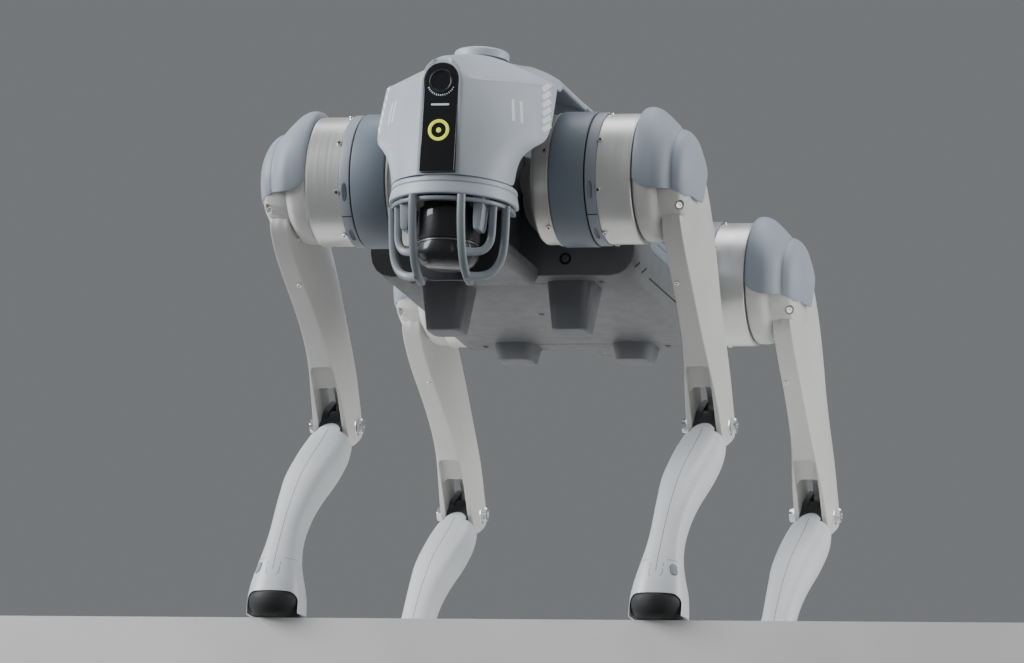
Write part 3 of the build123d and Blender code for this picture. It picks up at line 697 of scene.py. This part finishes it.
def bolt_end(side):
    """Domed hexagon head with a washer and a socket, on one side of the knee."""
    washer = [(0, 19.9), (9.6, 19.9), (10.0, 20.3), (10.0, 21.1), (9.4, 21.5), (7.6, 21.5)]
    head = []
    for step in range(48):
        a = 2 * pi * step / 48
        six = hexagon(a)
        ring = [(0, 21.3), (7.6 * six, 21.3), (7.8 * six, 22.0), (7.8 * six, 25.6), (6.9, 27.0), (3.4, 27.3),
                (3.0, 24.6), (0, 24.4)]
        head.append([(side * z, r * cos(a), r * sin(a)) for r, z in ring])
    disc = [[(side * z, r * cos(2 * pi * k / 48), r * sin(2 * pi * k / 48)) for r, z in washer] for k in range(48)]
    parts = [mesh_of(*skin(rings, wrap=False, closed=True)) for rings in (head, disc)]
    return moved(joined(*parts), Matrix.Translation(knee))


shank = moved(lathe_across([(-20, 0), (-20, 5.9), (20, 5.9), (20, 0)], steps=48), Matrix.Translation(knee))
on_each_leg(joined(bolt_end(1), bolt_end(-1), shank), "knee_bolt", "thigh", chrome, "chrome", "knee_pin", smooth=30)

# ---- calf and foot
# place behind and below the hip axis, lateral width, fore and aft depth
calf_stations = [
    (182, 203, 34, 24), (174, 213, 38, 28), (163, 225, 43, 33), (150, 238, 48, 36), (136, 250, 50, 38),
    (113, 268, 49, 40), (92, 284, 46, 39), (76, 299, 41.5, 37), (62, 314, 38, 35), (50.5, 329, 35.5, 34),
    (41, 344, 34.5, 34), (33, 359, 36.5, 35), (27, 373, 41, 38), (23.5, 386, 47, 43), (22, 399, 53, 50),
    (22, 410, 56, 55), (22, 421, 57, 57), (22, 428, 57, 57),
]


def calf_section(spot, heading, width, depth, count=48):
    """Rounded, slightly squared section across the calf."""
    front = Vector((1, 0, 0)).cross(heading).normalized()
    ring = []
    for k in range(count):
        a = 2 * pi * k / count
        u = abs(cos(a)) ** 0.88 * (1 if cos(a) >= 0 else -1)
        v = abs(sin(a)) ** 0.88 * (1 if sin(a) >= 0 else -1)
        ring.append(spot + Vector((1, 0, 0)) * (u * width / 2) + front * (v * depth / 2))
    return ring


calf_line = flowing(calf_stations, 4)
calf_rings = []
for i, (back, down, width, depth) in enumerate(calf_line):
    before, after = calf_line[max(i - 1, 0)], calf_line[min(i + 1, len(calf_line) - 1)]
    heading = Vector((0, after[0] - before[0], before[1] - after[1])).normalized()
    if down > 398:
        heading = Vector((0, 0, -1))
    calf_rings.append(calf_section(Vector((leg_x, back, -down)), heading, width, depth))
first_heading = Vector((0, calf_line[1][0] - calf_line[0][0], calf_line[0][1] - calf_line[1][1])).normalized()
dome = []
for i in range(1, 5):
    a = radians(90 - 20 * i)
    dome.append(calf_section(Vector((leg_x, 182, -203)) - first_heading * (7 * cos(a)), first_heading,
                             34 * sin(a) ** 0.6, 24 * sin(a) ** 0.6))
calf_body = solid(dome[::-1] + calf_rings)

room_r = 32.0
tongue_half = 11.4
room_outline = arc_points((knee_back, -knee_down), room_r, 0, 360, 72)[:-1]
for low, high in ((-60, -tongue_half), (tongue_half, 60)):
    ear_room = prism(room_outline, low, high, Matrix.Translation((leg_x, 0, 0)) @ sideways)
    calf_body = combined(calf_body, ear_room)

sole_z = -hip_height
foot_y = 22.0
boot_cut = [(-60, -60), (60, -60), (60, 60), (-60, 60)]
calf_tree = tree_of(calf_body)
foot_frame = Matrix.Translation((leg_x, foot_y, sole_z))
calf_body = combined(calf_body, prism(round_box(25.6, 24, 9), -14, 80, foot_frame @ ahead))
calf_body = combined(calf_body, prism(boot_cut, -80, 3.5, foot_frame))
calf_body = rounded(calf_body, 0.8, 40, 2)
on_each_leg(calf_body, "calf_form", "calf", calf_paint, "white_shell", "calf_shell", smooth=38)

foot_profile = flowing([(0, 0.2), (10, 0.1), (18, 0.9), (23.5, 4.5), (26.4, 10), (27.4, 15), (27.4, 19),
                        (26.2, 23), (21, 26), (0, 26)])
foot_mesh = lathe_upright([(max(p.x, 0), sole_z + p.y) for p in foot_profile], (leg_x, foot_y - 0.5))
tread = []
for step in range(7):
    band_y = foot_y - 15 + 5 * step
    half = sqrt(max(19**2 - (band_y - foot_y) ** 2, 1))
    tread.append(prism([(leg_x - half, band_y - 0.8), (leg_x + half, band_y - 0.8), (leg_x + half, band_y + 0.8),
                        (leg_x - half, band_y + 0.8)], sole_z - 2, sole_z + 1.6))
foot_mesh = combined(foot_mesh, joined(*tread))
on_each_leg(foot_mesh, "rubber_foot", "calf", rubber, "rubber", "foot_pad", smooth=40)

seam_spots = [(leg_x, 0, -p[1]) for p in calf_line if 212 < p[1] < 384]
front_throw = (0, 1, 0)
calf_seam = surface_strip(calf_tree, seam_spots, front_throw, 0.55)
tab = [(leg_x + x, 0, -384 + y) for x, y in
       [(-6.5, 9), (-6.5, 0), (-6.2, -3), (-4.5, -4.2), (4.5, -4.2), (6.2, -3), (6.5, 0), (6.5, 9)]]
tab_seam = surface_strip(calf_tree, tab, front_throw, 0.55)
waist = []
for sign in (-1, 1):
    spots = [(leg_x + sign * x, 0, -371 - 0.012 * (x - 9) ** 2) for x in range(9, 23, 2)]
    waist.append(surface_strip(calf_tree, spots, front_throw, 0.5))
on_each_leg(joined(calf_seam, tab_seam, *waist), "calf_seams", "calf", seam_soft, "shell_grey")

plug_place, plug_facing = calf_tree.ray_cast(Vector((leg_x + 100, 8, -381)), Vector((-1, 0, 0)))[:2]
plug_frame = basis(plug_place, plug_facing.cross(Vector((0, 0, 1))), plug_facing)
plug = rounded(prism(round_box(3.2, 5.6, 3.1), -1.2, 0.5, plug_frame), 0.3)
plug_rim = prism(round_box(3.9, 6.3, 3.8), -1.2, 0.12, plug_frame)
on_each_leg(plug, "cable_plug", "calf", ring_grey, "shell_grey")
on_each_leg(plug_rim, "cable_plug_rim", "calf", seam_soft, "shell_grey")

# ---- head and tail shells
# nose height, corner height, nose y, corner x and y, control point of the curve between them
head_rows = [
    (-32, -32, -157.0, 60.6, -104.0, 54.0, -143.5),
    (-19, -19, -158.4, 62.2, -106.5, 56.0, -140.5),
    (-6, -6, -159.4, 65.5, -107.0, 57.4, -136.5),
    (4, 4, -160.2, 71.5, -101.5, 58.5, -133.0),
    (12, 12, -160.8, 79.5, -92.0, 59.4, -130.5),
    (20, 20, -161.3, 86.3, -82.6, 60.0, -128.4),
    (42, 50, -162.4, 86.6, -71.0, 60.5, -123.0),
    (60, 78, -163.0, 85.6, -60.3, 61.0, -117.0),
]
nose_half = 20.5
column_shares = (0.0, 0.12, 0.3, 0.5, 0.7, 0.88, 1.0)
# crown columns: place of the ridge behind the hip axis and its height, then heights between crease and ridge
crown_columns = [
    (-162.5, 82.0, (0.66, 0.87, 0.97)),
    (-153.0, 86.0, (0.20, 0.62, 0.93)),
    (-138.0, 91.0, (0.10, 0.40, 0.85)),
    (-118.0, 97.5, (0.10, 0.34, 0.80)),
    (-96.0, 104.0, (0.14, 0.38, 0.80)),
    (-76.0, 109.0, (0.22, 0.48, 0.83)),
    (-60.0, 112.0, (0.31, 0.61, 0.87)),
]


def across_flank(row, t):
    """Place and direction at a share of a head row's curve, from above."""
    nose, bend, corner = Vector((nose_half, row[2])), Vector(row[5:7]), Vector(row[3:5])
    place = nose * (1 - t) ** 2 + bend * (2 * t * (1 - t)) + corner * t**2
    return place, ((bend - nose) * (1 - t) + (corner - bend) * t).normalized()


def head_surface():
    """Prow from the collar to the crown, as a control cage."""
    rings = []
    for row in head_rows:
        nose_z, corner_z, nose_y = row[:3]
        half = [(*across_flank(row, t)[0], nose_z + (corner_z - nose_z) * t) for t in column_shares]
        rings.append([(-x, y, z) for x, y, z in reversed(half)] + [(0, nose_y, nose_z)] + half)
    crease_row = rings[-1][len(column_shares) + 1:]
    for share, index in ((0.75, 0), (0.5, 1), (0.25, 2)):
        half = []
        for (x, y, z), (ridge_y, ridge_z, lifts) in zip(crease_row, crown_columns):
            half.append((x * share, ridge_y + (y - ridge_y) * share, z + (ridge_z - z) * lifts[index]))
        rings.append([(-x, y, z) for x, y, z in reversed(half)] + [None] + half)
    ridge = [(0, ridge_y, ridge_z) for ridge_y, ridge_z, _ in crown_columns]
    rings.append([p for p in reversed(ridge)] + [None] + ridge)
    return rings


def head_cage():
    """Mesh of the prow with the flat front of the hood closed."""
    rings = head_surface()
    width = len(rings[0])
    middle = width // 2
    points, index = [], {}
    for i, ring in enumerate(rings):
        for j, spot in enumerate(ring):
            if spot is not None:
                index[i, j] = len(points)
                points.append(spot)
    faces = []
    for i in range(len(rings) - 1):
        for j in range(width - 1):
            keys = [(i, j), (i, j + 1), (i + 1, j + 1), (i + 1, j)]
            if all(key in index for key in keys):
                faces.append([index[key] for key in keys])
    crease_index = len(head_rows) - 1
    for sign in (-1, 1):
        arch = [index[i, middle + sign] for i in range(crease_index, len(rings))]
        faces.append([index[crease_index, middle]] + arch)
    return mesh_of(points, faces, merge=0.05)


def on_nose_edge(a, b):
    """Edges of the nose's flat front."""
    return all(abs(p.y + 160.5) < 4 and abs(p.x) > 0.1 * nose_half and abs(p.x) < nose_half + 0.1 for p in (a, b)) \
        and (abs(abs(a.x) - nose_half) < 0.1 and abs(abs(b.x) - nose_half) < 0.1 or a.z > 59.9 and b.z > 59.9)


head_mesh = head_cage()
head_crease_row = head_surface()[len(head_rows) - 1]
crease_spots = {key_of(p) for p in head_crease_row}
head_mesh = crease(head_mesh, on_nose_edge, 0.75)
head_mesh = crease(head_mesh, lambda a, b: {key_of(a), key_of(b)} <= crease_spots
                   and max(abs(a.x), abs(b.x)) > nose_half + 1, 0.55)
head_mesh = subdivided(head_mesh, 3)
head_shell_mesh = baked(head_mesh, ("SOLIDIFY", {"thickness": 3.0, "offset": -1.0}))

strip_half = 17.0
strip_low, strip_high = -30.0, 76.0


def strip_outline(margin):
    """Tall strip with a round top and square foot, as (x, z)."""
    half = strip_half + margin
    arch = arc_points((0, strip_high - strip_half), half, 0, 180, 32)
    return [(half, strip_low - margin)] + arch + [(-half, strip_low - margin)]


head_front_mesh = combined(head_shell_mesh, prism(strip_outline(0.3), 140, 200, ahead))
head_front_mesh = rounded(head_front_mesh, 0.5, 50, 2)
on_trunk(head_front_mesh, "head_form", head_grey, "shell_grey", "head_shell", smooth=40)
window = rounded(prism(strip_outline(0.0), 146, 162.4, ahead), 0.7, 50, 3)
on_trunk(window, "window_strip", window_black, "gloss_black", "camera_window", smooth=40)

lens_z = 57.8
lamp_z = 10.0


def facing_ahead(profile, height, steps=72):
    """Turned part whose axis points ahead from the window; profile as (radius, place ahead)."""
    return moved(lathe_upright(profile, steps=steps), Matrix.Translation((0, 0, height)) @ ahead)


lens_barrel = facing_ahead([(0, 158), (12.0, 158), (12.0, 163.0), (11.4, 163.8), (10.2, 163.9), (9.6, 163.2),
                            (8.8, 162.4), (8.2, 162.2), (7.6, 161.4), (7.0, 161.2), (6.4, 160.6), (0, 160.6)], lens_z)
lens_dome = facing_ahead(flowing([(0, 162.3), (2.4, 162.15), (4.6, 161.5), (6.3, 160.6)]), lens_z)
on_trunk(lens_barrel, "lens_barrel", black_plastic, "black_plastic", "camera_lens")
on_trunk(lens_dome, "lens_glass", lens_black, "lens_glass")
arc_mark = []
for step in range(15):
    a = radians(207 + 126 * step / 14)
    tick = prism(round_box(0.42, 0.9, 0.3, 3), 162.2, 162.65)
    arc_mark.append(moved(tick, Matrix.Translation((13.7 * cos(a), 0, lens_z + 13.7 * sin(a))) @ ahead
                          @ Matrix.Rotation(a + pi / 2, 4, "Z")))
name_bar = prism(round_box(9.0, 0.9, 0.85), 162.2, 162.65, Matrix.Translation((0, 0, 35)) @ ahead)
on_trunk(joined(name_bar, *arc_mark), "window_marks", mark_paint, "white_shell")

lamp_ring = facing_ahead([(7.4, 160), (7.4, 163.0), (7.9, 163.5), (9.8, 163.5), (10.4, 162.9), (10.4, 160)], lamp_z)
lamp_dot = facing_ahead([(0, 162.9), (1.6, 162.8), (2.9, 162.2), (3.3, 161.2), (3.3, 160)], lamp_z)
lamp_well = facing_ahead([(0, 160.6), (7.4, 160.6), (7.5, 163.1)], lamp_z)
on_trunk(joined(lamp_ring, lamp_dot), "lamp_ring", lamp_yellow, "lamp_yellow", "ring_lamp")
on_trunk(lamp_well, "lamp_well", lens_black, "gloss_black")

button_z = 30.0
tail_mesh = combined(head_shell_mesh, facing_ahead([(0, 120), (9.5, 120), (9.5, 200), (0, 200)], button_z))
tail_mesh = rounded(tail_mesh, 0.5, 50, 2)
on_trunk(tail_mesh, "tail_form", head_grey, "shell_grey", "tail_shell", smooth=40, place=rear_frame)
button_cap = facing_ahead([(0, 152), (9.0, 152), (9.0, 162.2), (8.4, 163.0), (6.6, 163.2), (6.0, 162.6), (0, 162.3)],
                          button_z)
put(button_cap, "button_cap", "button", rear_frame, ring_grey, "shell_dark", "power_button")

# plain bars in place of the digits, and slanted warning bars behind them
head_tree = tree_of(head_mesh)


def side_mark(centre_share, height, half_across, half_up, slant=0.0):
    """Small painted bar on the head's flank."""
    spot, run = across_flank(head_rows[6], centre_share)
    low = Vector((*(spot - run * slant), height - half_up))
    high = Vector((*(spot + run * slant), height + half_up))
    spots = [low + (high - low) * i / 8 for i in range(9)]
    return surface_strip(head_tree, spots, (-run.y, run.x, 0), 2 * half_across, 0.05)


flank_marks = [side_mark(0.53, 40, 1.7, 11.0), side_mark(0.62, 40, 1.7, 11.0)]
for step in range(6):
    flank_marks.append(side_mark(0.895 + 0.008 * step, 31 + 8.4 * step, 2.5, 4.0, 5.8))
flank_marks = joined(*flank_marks)
on_trunk(flank_marks, "flank_marks_left", mark_paint, "white_shell")
on_trunk(moved(flank_marks, mirror), "flank_marks_right", mark_paint, "white_shell")

# ---- scanner bay
collar_y = -97.6
collar = lathe_upright(
    flowing([(52, -31), (57.5, -31.5), (60.2, -33.5), (60.4, -37.2)], 3)
    + [(59.2, -37.9), (59.2, -38.6), (60.6, -39.3)]
    + flowing([(61.0, -41), (61.9, -46), (62.0, -48.8), (61.2, -49.8), (57, -50), (54, -46)], 3),
    (0, collar_y), -108, 108, 120)
cage_ring = lathe_upright([(54.5, -52.2), (59.0, -52.2), (59.5, -52.8), (59.5, -55.4), (59.0, -56), (54.5, -56),
                           (54.5, -52.2)], (0, collar_y), -108, 108, 120)
front_rib = [(24, -155.0, -51), (24, -154.2, -62), (24, -151.5, -77), (24, -147, -92), (24, -140.5, -106),
             (24, -131, -117), (24, -120, -123.5), (24, -110, -126.5)]
inner_hoop = [(47.5, -125.0, -52), (46.8, -123.2, -68), (46.2, -122.0, -84), (44.2, -122.6, -92.5),
              (39.5, -125.0, -98.5), (33, -129.5, -101), (25, -137.0, -102)]
outer_hoop = [(56.5, -113.0, -53), (55.9, -110.0, -72), (54.8, -107.8, -92), (52.0, -107.8, -106),
              (45.5, -110.5, -116.5), (36, -115.5, -121.5), (25, -124.0, -123)]
bars = []
for side in (-1, 1):
    for path, width, height, up in ((front_rib, 6.6, 8.0, (side, 0, 0)), (inner_hoop, 7.6, 5.6, (0, -1, 0.01)),
                                    (outer_hoop, 8.2, 6.2, (0, -1, 0.01))):
        line = [Vector((side * p.x, p.y, p.z)) for p in flowing(path)]
        bars.append(rod(line, width, height, up))
cage = joined(cage_ring, *bars)
scanner_y = -108.5
scanner = lathe_upright(
    [(0, -40), (26, -40), (26, -54.6), (28.5, -55.4), (30, -57), (30, -87.2), (29.6, -88), (28.2, -88.4),
     (28.2, -90.6), (29.6, -91), (30, -91.8), (30, -101), (28.6, -104.5), (25, -109), (19, -112), (0, -112)],
    (0, scanner_y))
glass_line = lathe_upright([(28.3, -88.5), (28.9, -88.7), (28.9, -90.2), (28.3, -90.4)], (0, scanner_y))


def bracket(side):
    """Angle bracket that carries the cage beside the scanner."""
    outline = [(30.5, -41), (42, -41), (41, -60), (39.5, -78), (38, -81), (33.2, -81), (32.2, -78), (31.5, -60)]
    rings = [[(side * x, y, z) for x, z in outline] for y in (-139, -137.5, -122, -119)]
    return rounded(solid(rings), 0.6, 35, 3)


bay_plate = lathe_upright([(27.4, -41), (50.5, -41), (50.5, -37.5), (27.4, -37.5), (27.4, -41)], (0, collar_y),
                          -104, 104, 72)
on_trunk(collar, "scanner_collar_form", head_grey, "shell_grey", "scanner_collar")
on_trunk(cage, "scanner_cage_bars", cage_paint, "cage_metal", "scanner_cage", smooth=45)
on_trunk(scanner, "scanner_body", scanner_black, "black_plastic", "scanner")
on_trunk(glass_line, "scanner_slit", inner_metal, "dark_metal")
on_trunk(joined(bracket(1), bracket(-1)), "bay_brackets", ring_grey, "shell_dark", "scanner_brackets")
on_trunk(bay_plate, "bay_plate", black_plastic, "black_plastic")
wall_outline = [(48, -48), (48, -92), (40, -108), (26, -116), (-26, -116), (-40, -108), (-48, -92), (-48, -48)]
bay_wall = rounded(prism(wall_outline, 72, 76.4, ahead), 0.8)
on_trunk(bay_wall, "bay_back_wall", wall_black, "black_plastic", "bay_wall")
tail_floor = prism([(-60, -90), (60, -90), (52, -125), (20, -154), (-20, -154), (-52, -125)], -32.0, -29.0)
on_trunk(tail_floor, "tail_floor", head_grey, "shell_grey", "tail_shell", place=rear_frame)

# ---- trunk
deck_z = 112.0


def cross_rings(stations):
    """Rings across the trunk from stations of y and right-hand points (x, z)."""
    rings = []
    for y, points in stations:
        left = [(-x, z) for x, z in reversed(points) if x > 0]
        rings.append([(x, y, z) for x, z in points + left])
    return rings


saddle = [(0, 103), (30, 99), (60, 92), (75, 87), (78.4, 87.2), (78.8, 91.5), (72, 97.5), (62, 103.5), (48, 109),
          (28, 111.6), (0, 112)]
back_section = [(0, 104), (40, 104), (60, 98), (82, 82), (118, 62), (128, 44), (128, -1.5), (134, -1.5), (134, 42),
                (122, 66), (86, 86), (66, 103), (48, 110.5), (28, 112), (0, 112)]
mid_low, mid_high = trunk_mid - 155.0, trunk_mid + 155.0
crown_end = [(0, 104), (30, 97), (60, 84), (75, 77.5), (84, 74.5), (85, 77.5), (60, 90.6), (43, 98.6), (30, 104.6),
             (18, 108.6), (0, 111.8)]


def saddle_at(t):
    """Saddle section between the head's rear edge and the hips' cover."""
    return [(a[0] + (b[0] - a[0]) * bulge(t), a[1] + (b[1] - a[1]) * bulge(t)) for a, b in zip(crown_end, saddle)]


saddle_run = [(-58, 0.0), (-48, 0.1), (-38, 0.3), (-28, 0.55), (-18, 0.8), (-8, 1.0), (20, 1.0), (mid_low + 4, 1.0)]
front_saddle = solid(cross_rings([(y, saddle_at(t)) for y, t in saddle_run]))
front_saddle = rounded(front_saddle, 1.6, 35, 3)
back_shell = solid(cross_rings([(mid_low, back_section), (mid_high, back_section)]))
end_wall = [(0, 108), (46, 108), (62, 101), (84, 84), (118, 63), (130, 42), (130, -1.5)]
walls = []
for y in (mid_low + 1.0, mid_high - 4.0):
    walls.append(solid(cross_rings([(y, end_wall), (y + 3, end_wall)])))
back_shell = rounded(back_shell, 2.5, 12, 3)
on_trunk(front_saddle, "front_saddle", shoulder_grey, "shell_grey")
on_trunk(front_saddle, "rear_saddle", shoulder_grey, "shell_grey", place=rear_frame)

payload_holes = []
for x in (-40, 40):
    for y in (-100, 100):
        payload_holes.append(lathe_upright([(2.6, deck_z - 2), (2.6, deck_z + 0.1), (3.1, deck_z + 0.5),
                                            (5.2, deck_z + 0.5), (5.6, deck_z + 0.1), (5.6, deck_z - 2)],
                                           (x, trunk_mid + y), steps=48))
on_trunk(joined(*payload_holes), "payload_inserts", can_silver, "satin_silver")

cap_profile = [(0, deck_z - 1), (26.6, deck_z - 1), (26.6, deck_z + 5.4), (26.0, deck_z + 6.6), (24.6, deck_z + 7.6),
               (22.4, deck_z + 8.3), (0, deck_z + 8.9)]
on_trunk(lathe_upright(cap_profile, (0, -32.6)), "crown_cap", head_grey, "shell_grey", "top_cap")

belly_front = [(0, -78), (111, -78), (120, -76.2), (127, -71.5), (131.8, -64), (134, -54), (134, -2.5), (0, -2.5)]
belly_rear = [(0, -85), (109, -85), (118, -83.2), (125, -78.5), (129.8, -71), (132, -61), (132, -2.5), (0, -2.5)]
belly = solid(cross_rings([(mid_low, belly_front), (mid_high, belly_rear)]))
belly = rounded(belly, 1.4, 14, 3)


def bay_cutter(side):
    """Room of one battery in the shells."""
    outline = [(trunk_mid + y, 5 + z) for y, z in round_box(92.6, 43.6, 3.0, 2)]
    return prism(outline, 69.4, 160, Matrix.Diagonal((side, 1, 1, 1)) @ sideways)


for side in (-1, 1):
    belly = combined(belly, bay_cutter(side))
    back_shell = combined(back_shell, bay_cutter(side))
on_trunk(joined(back_shell, *walls), "back_form", shoulder_grey, "shell_grey", "upper_shell")
chin_outline = [(0, -70), (38, -70), (38, -79), (35, -84), (30, -87.4), (0, -87.4)]
chin_front = rounded(solid(cross_rings([(-72, chin_outline), (mid_low + 2, chin_outline)])), 1.2)
on_trunk(joined(belly, chin_front), "belly_form", belly_grey, "shell_dark", "belly_shell")

belly_tree = tree_of(belly)
slits = []
for side in (-1, 1):
    seam = [(side * 128.5, trunk_mid - 84 + 14 * i, -60) for i in range(12)]
    slits.append(surface_strip(belly_tree, seam, (-side * 0.6, 0, 1), 1.6))
    for y in (mid_low + 16, mid_low + 42):
        spots = [(side * (126 + i), y + 1.5 * i, -60) for i in range(9)]
        slits.append(surface_strip(belly_tree, spots, (-side * 0.9, 0, 1), 2.6))
for y in (mid_low + 30, mid_high - 30):
    spots = [(x, y, -90) for x in range(-44, 45, 8)]
    slits.append(surface_strip(belly_tree, spots, (0, 0, 1), 1.0))
on_trunk(joined(*slits), "belly_slits", seam_black, "black_plastic")

belly_screws, screw_well_shades = [], []
for x in (-65, 65):
    spot = Vector((x, mid_low, -61))
    belly_screws.append(stand_on(cap_screw(3.4, 1.6), spot, (0, -1, 0)))
    # flat black disc round each front belly screw: painted shade of a screw well
    screw_well_shades.append(stand_on(lathe_upright([(0, 0), (6.0, 0), (6.0, 0.3), (0, 0.3)], steps=40), spot, (0, -1, 0)))
for x, y in ((-96, mid_low + 24), (96, mid_low + 24), (-96, mid_high - 20), (96, mid_high - 20), (0, trunk_mid)):
    place, facing = belly_tree.ray_cast(Vector((x, y, -200)), Vector((0, 0, 1)))[:2]
    belly_screws.append(stand_on(cap_screw(3.0, 1.6), place - facing * 0.8, facing))
on_trunk(joined(*belly_screws), "belly_screws", inner_metal, "dark_metal")
# painted shade: black discs round the belly's front screws
on_trunk(joined(*screw_well_shades), "belly_screw_well_shades", seam_black, "black_plastic")

# belly rests: tapered posts with a soft square section
rest_posts = []
for x, y, low, high in ((64, 116.5, -125.4, -57), (62, 365.7, -100.9, -60)):
    for side in (-1, 1):
        post = ((low, 16.6), (low + 1.4, 18), (low + 0.4 * (high - low), 21.5), (high, 27))
        pad = ((low - 0.1, 14), (low + 2, 14))
        for stations in (post, pad):
            rest_posts.append(solid([[(side * x + u, y + v, z) for u, v in round_box(half, half, 0.5 * half, 8)]
                                     for z, half in stations]))
on_trunk(joined(*rest_posts), "rest_posts", rest_grey, "shell_grey", "belly_rests", smooth=40)

# ---- batteries
battery_low, battery_high = -38.0, 48.0


def battery_mesh():
    """Side battery with a grip pocket and ribs."""
    outline = [(-92, battery_low), (92, battery_low), (92, battery_high), (-92, battery_high)]
    block = rounded(prism(outline, 70, 134, Matrix.Translation((0, trunk_mid, 0)) @ sideways), 5, 30, 4)
    grip_z = 20
    grip_frame = Matrix.Translation((0, trunk_mid, grip_z)) @ sideways
    block = combined(block, prism(round_box(44, 8, 7), 127, 150, grip_frame))
    for step in range(5):
        groove_frame = Matrix.Translation((0, trunk_mid, -7 * step)) @ sideways
        block = combined(block, prism(round_box(70, 1.2, 1.1), 132.8, 150, groove_frame))
    return rounded(block, 0.5, 50, 2)


battery_block = battery_mesh()
put(battery_block, "battery_pack_left", "left_battery", front_frame, housing_grey, "shell_dark", "battery_left")
put(moved(battery_block, mirror), "battery_pack_right", "right_battery", front_frame, housing_grey, "shell_dark",
    "battery_right")

# ---- CAD nodes that stay
kept_materials = {
    "chassis_frame": inner_metal,
    "computer_box": black_plastic,
    "roll_motors": can_silver,
}
for corner in corners:
    kept_materials[f"{corner}_knee_crank"] = knuckle_metal
    kept_materials[f"{corner}_push_rod"] = link_metal
    kept_materials[f"{corner}_calf_knuckle"] = knuckle_metal
for node, material in kept_materials.items():
    data = frame["nodes"][node].data
    data.materials.clear()
    data.materials.append(material)

# ---- stage, light and camera


def stage_slab():
    """Pale plinth whose front edge is under the front feet."""
    pale = moulded("stage_paint", (0.80, 0.79, 0.77), 0.65, grain=300, relief=0.00003)
    front = (hip.y + foot_y * MM) - 0.010
    points = [(x, y, z) for z in (-0.6, 0.0) for x, y in ((-4, front), (4, front), (4, front + 6), (-4, front + 6))]
    faces = [(0, 1, 2, 3), (4, 5, 6, 7), (0, 1, 5, 4), (1, 2, 6, 5), (2, 3, 7, 6), (3, 0, 4, 7)]
    slab = bpy.data.objects.new("stage_slab", mesh_of(points, faces))
    slab.data.materials.append(pale)
    link(slab)


def soft_light(name, place, target, size, power, colour):
    """Large square light aimed at a point."""
    light = bpy.data.lights.new(name, "AREA")
    light.shape = "RECTANGLE"
    light.size, light.size_y = size
    light.energy = power
    light.color = colour
    holder = bpy.data.objects.new(name, light)
    holder.location = place
    holder.rotation_euler = (Vector(target) - Vector(place)).to_track_quat("-Z", "Y").to_euler()
    link(holder)


stage_slab()
world = bpy.data.worlds.new("studio")
world.use_nodes = True
world.node_tree.nodes["Background"].inputs["Color"].default_value = (0.74, 0.77, 0.80, 1)
world.node_tree.nodes["Background"].inputs["Strength"].default_value = 0.24
bpy.context.scene.world = world
middle = (0.0, 0.0, 0.4)
soft_light("key", (-2.8, -1.5, 1.7), middle, (2.0, 2.0), 165, (0.96, 0.98, 1.0))
soft_light("top", (0.3, 0.2, 3.0), middle, (2.2, 2.2), 46, (0.97, 0.985, 1.0))
soft_light("fill", (2.4, -3.0, 0.6), middle, (1.6, 2.2), 16, (1.0, 0.985, 0.96))
soft_light("side", (3.0, 0.4, 1.2), middle, (1.4, 1.8), 60, (0.98, 0.99, 1.0))

view_target = Vector((0.0, -0.023, hip.z))
view_azimuth, view_elevation, view_roll = radians(15.941), radians(-12.878), radians(3.173)
view_distance = 7.1519
back_way = Vector((sin(view_azimuth) * cos(view_elevation), -cos(view_azimuth) * cos(view_elevation),
                   sin(view_elevation)))
level_right = (-back_way).cross(Vector((0, 0, 1))).normalized()
level_up = level_right.cross(-back_way)
camera_right = cos(view_roll) * level_right + sin(view_roll) * level_up
camera_up = cos(view_roll) * level_up - sin(view_roll) * level_right
camera = bpy.data.cameras.new("camera")
camera.lens = 251.67
camera.sensor_width = 36.0
camera.clip_end = 100.0
camera_holder = bpy.data.objects.new("camera", camera)
link(camera_holder)
place = view_target + back_way * view_distance
aim = view_target - 0.0342 * camera_right - 0.0967 * camera_up
look_back = (place - aim).normalized()
side_way = (camera_right - look_back * camera_right.dot(look_back)).normalized()
camera_holder.matrix_world = Matrix.Translation(place) @ Matrix(
    (side_way, look_back.cross(side_way), look_back)).transposed().to_4x4()
bpy.context.scene.camera = camera_holder
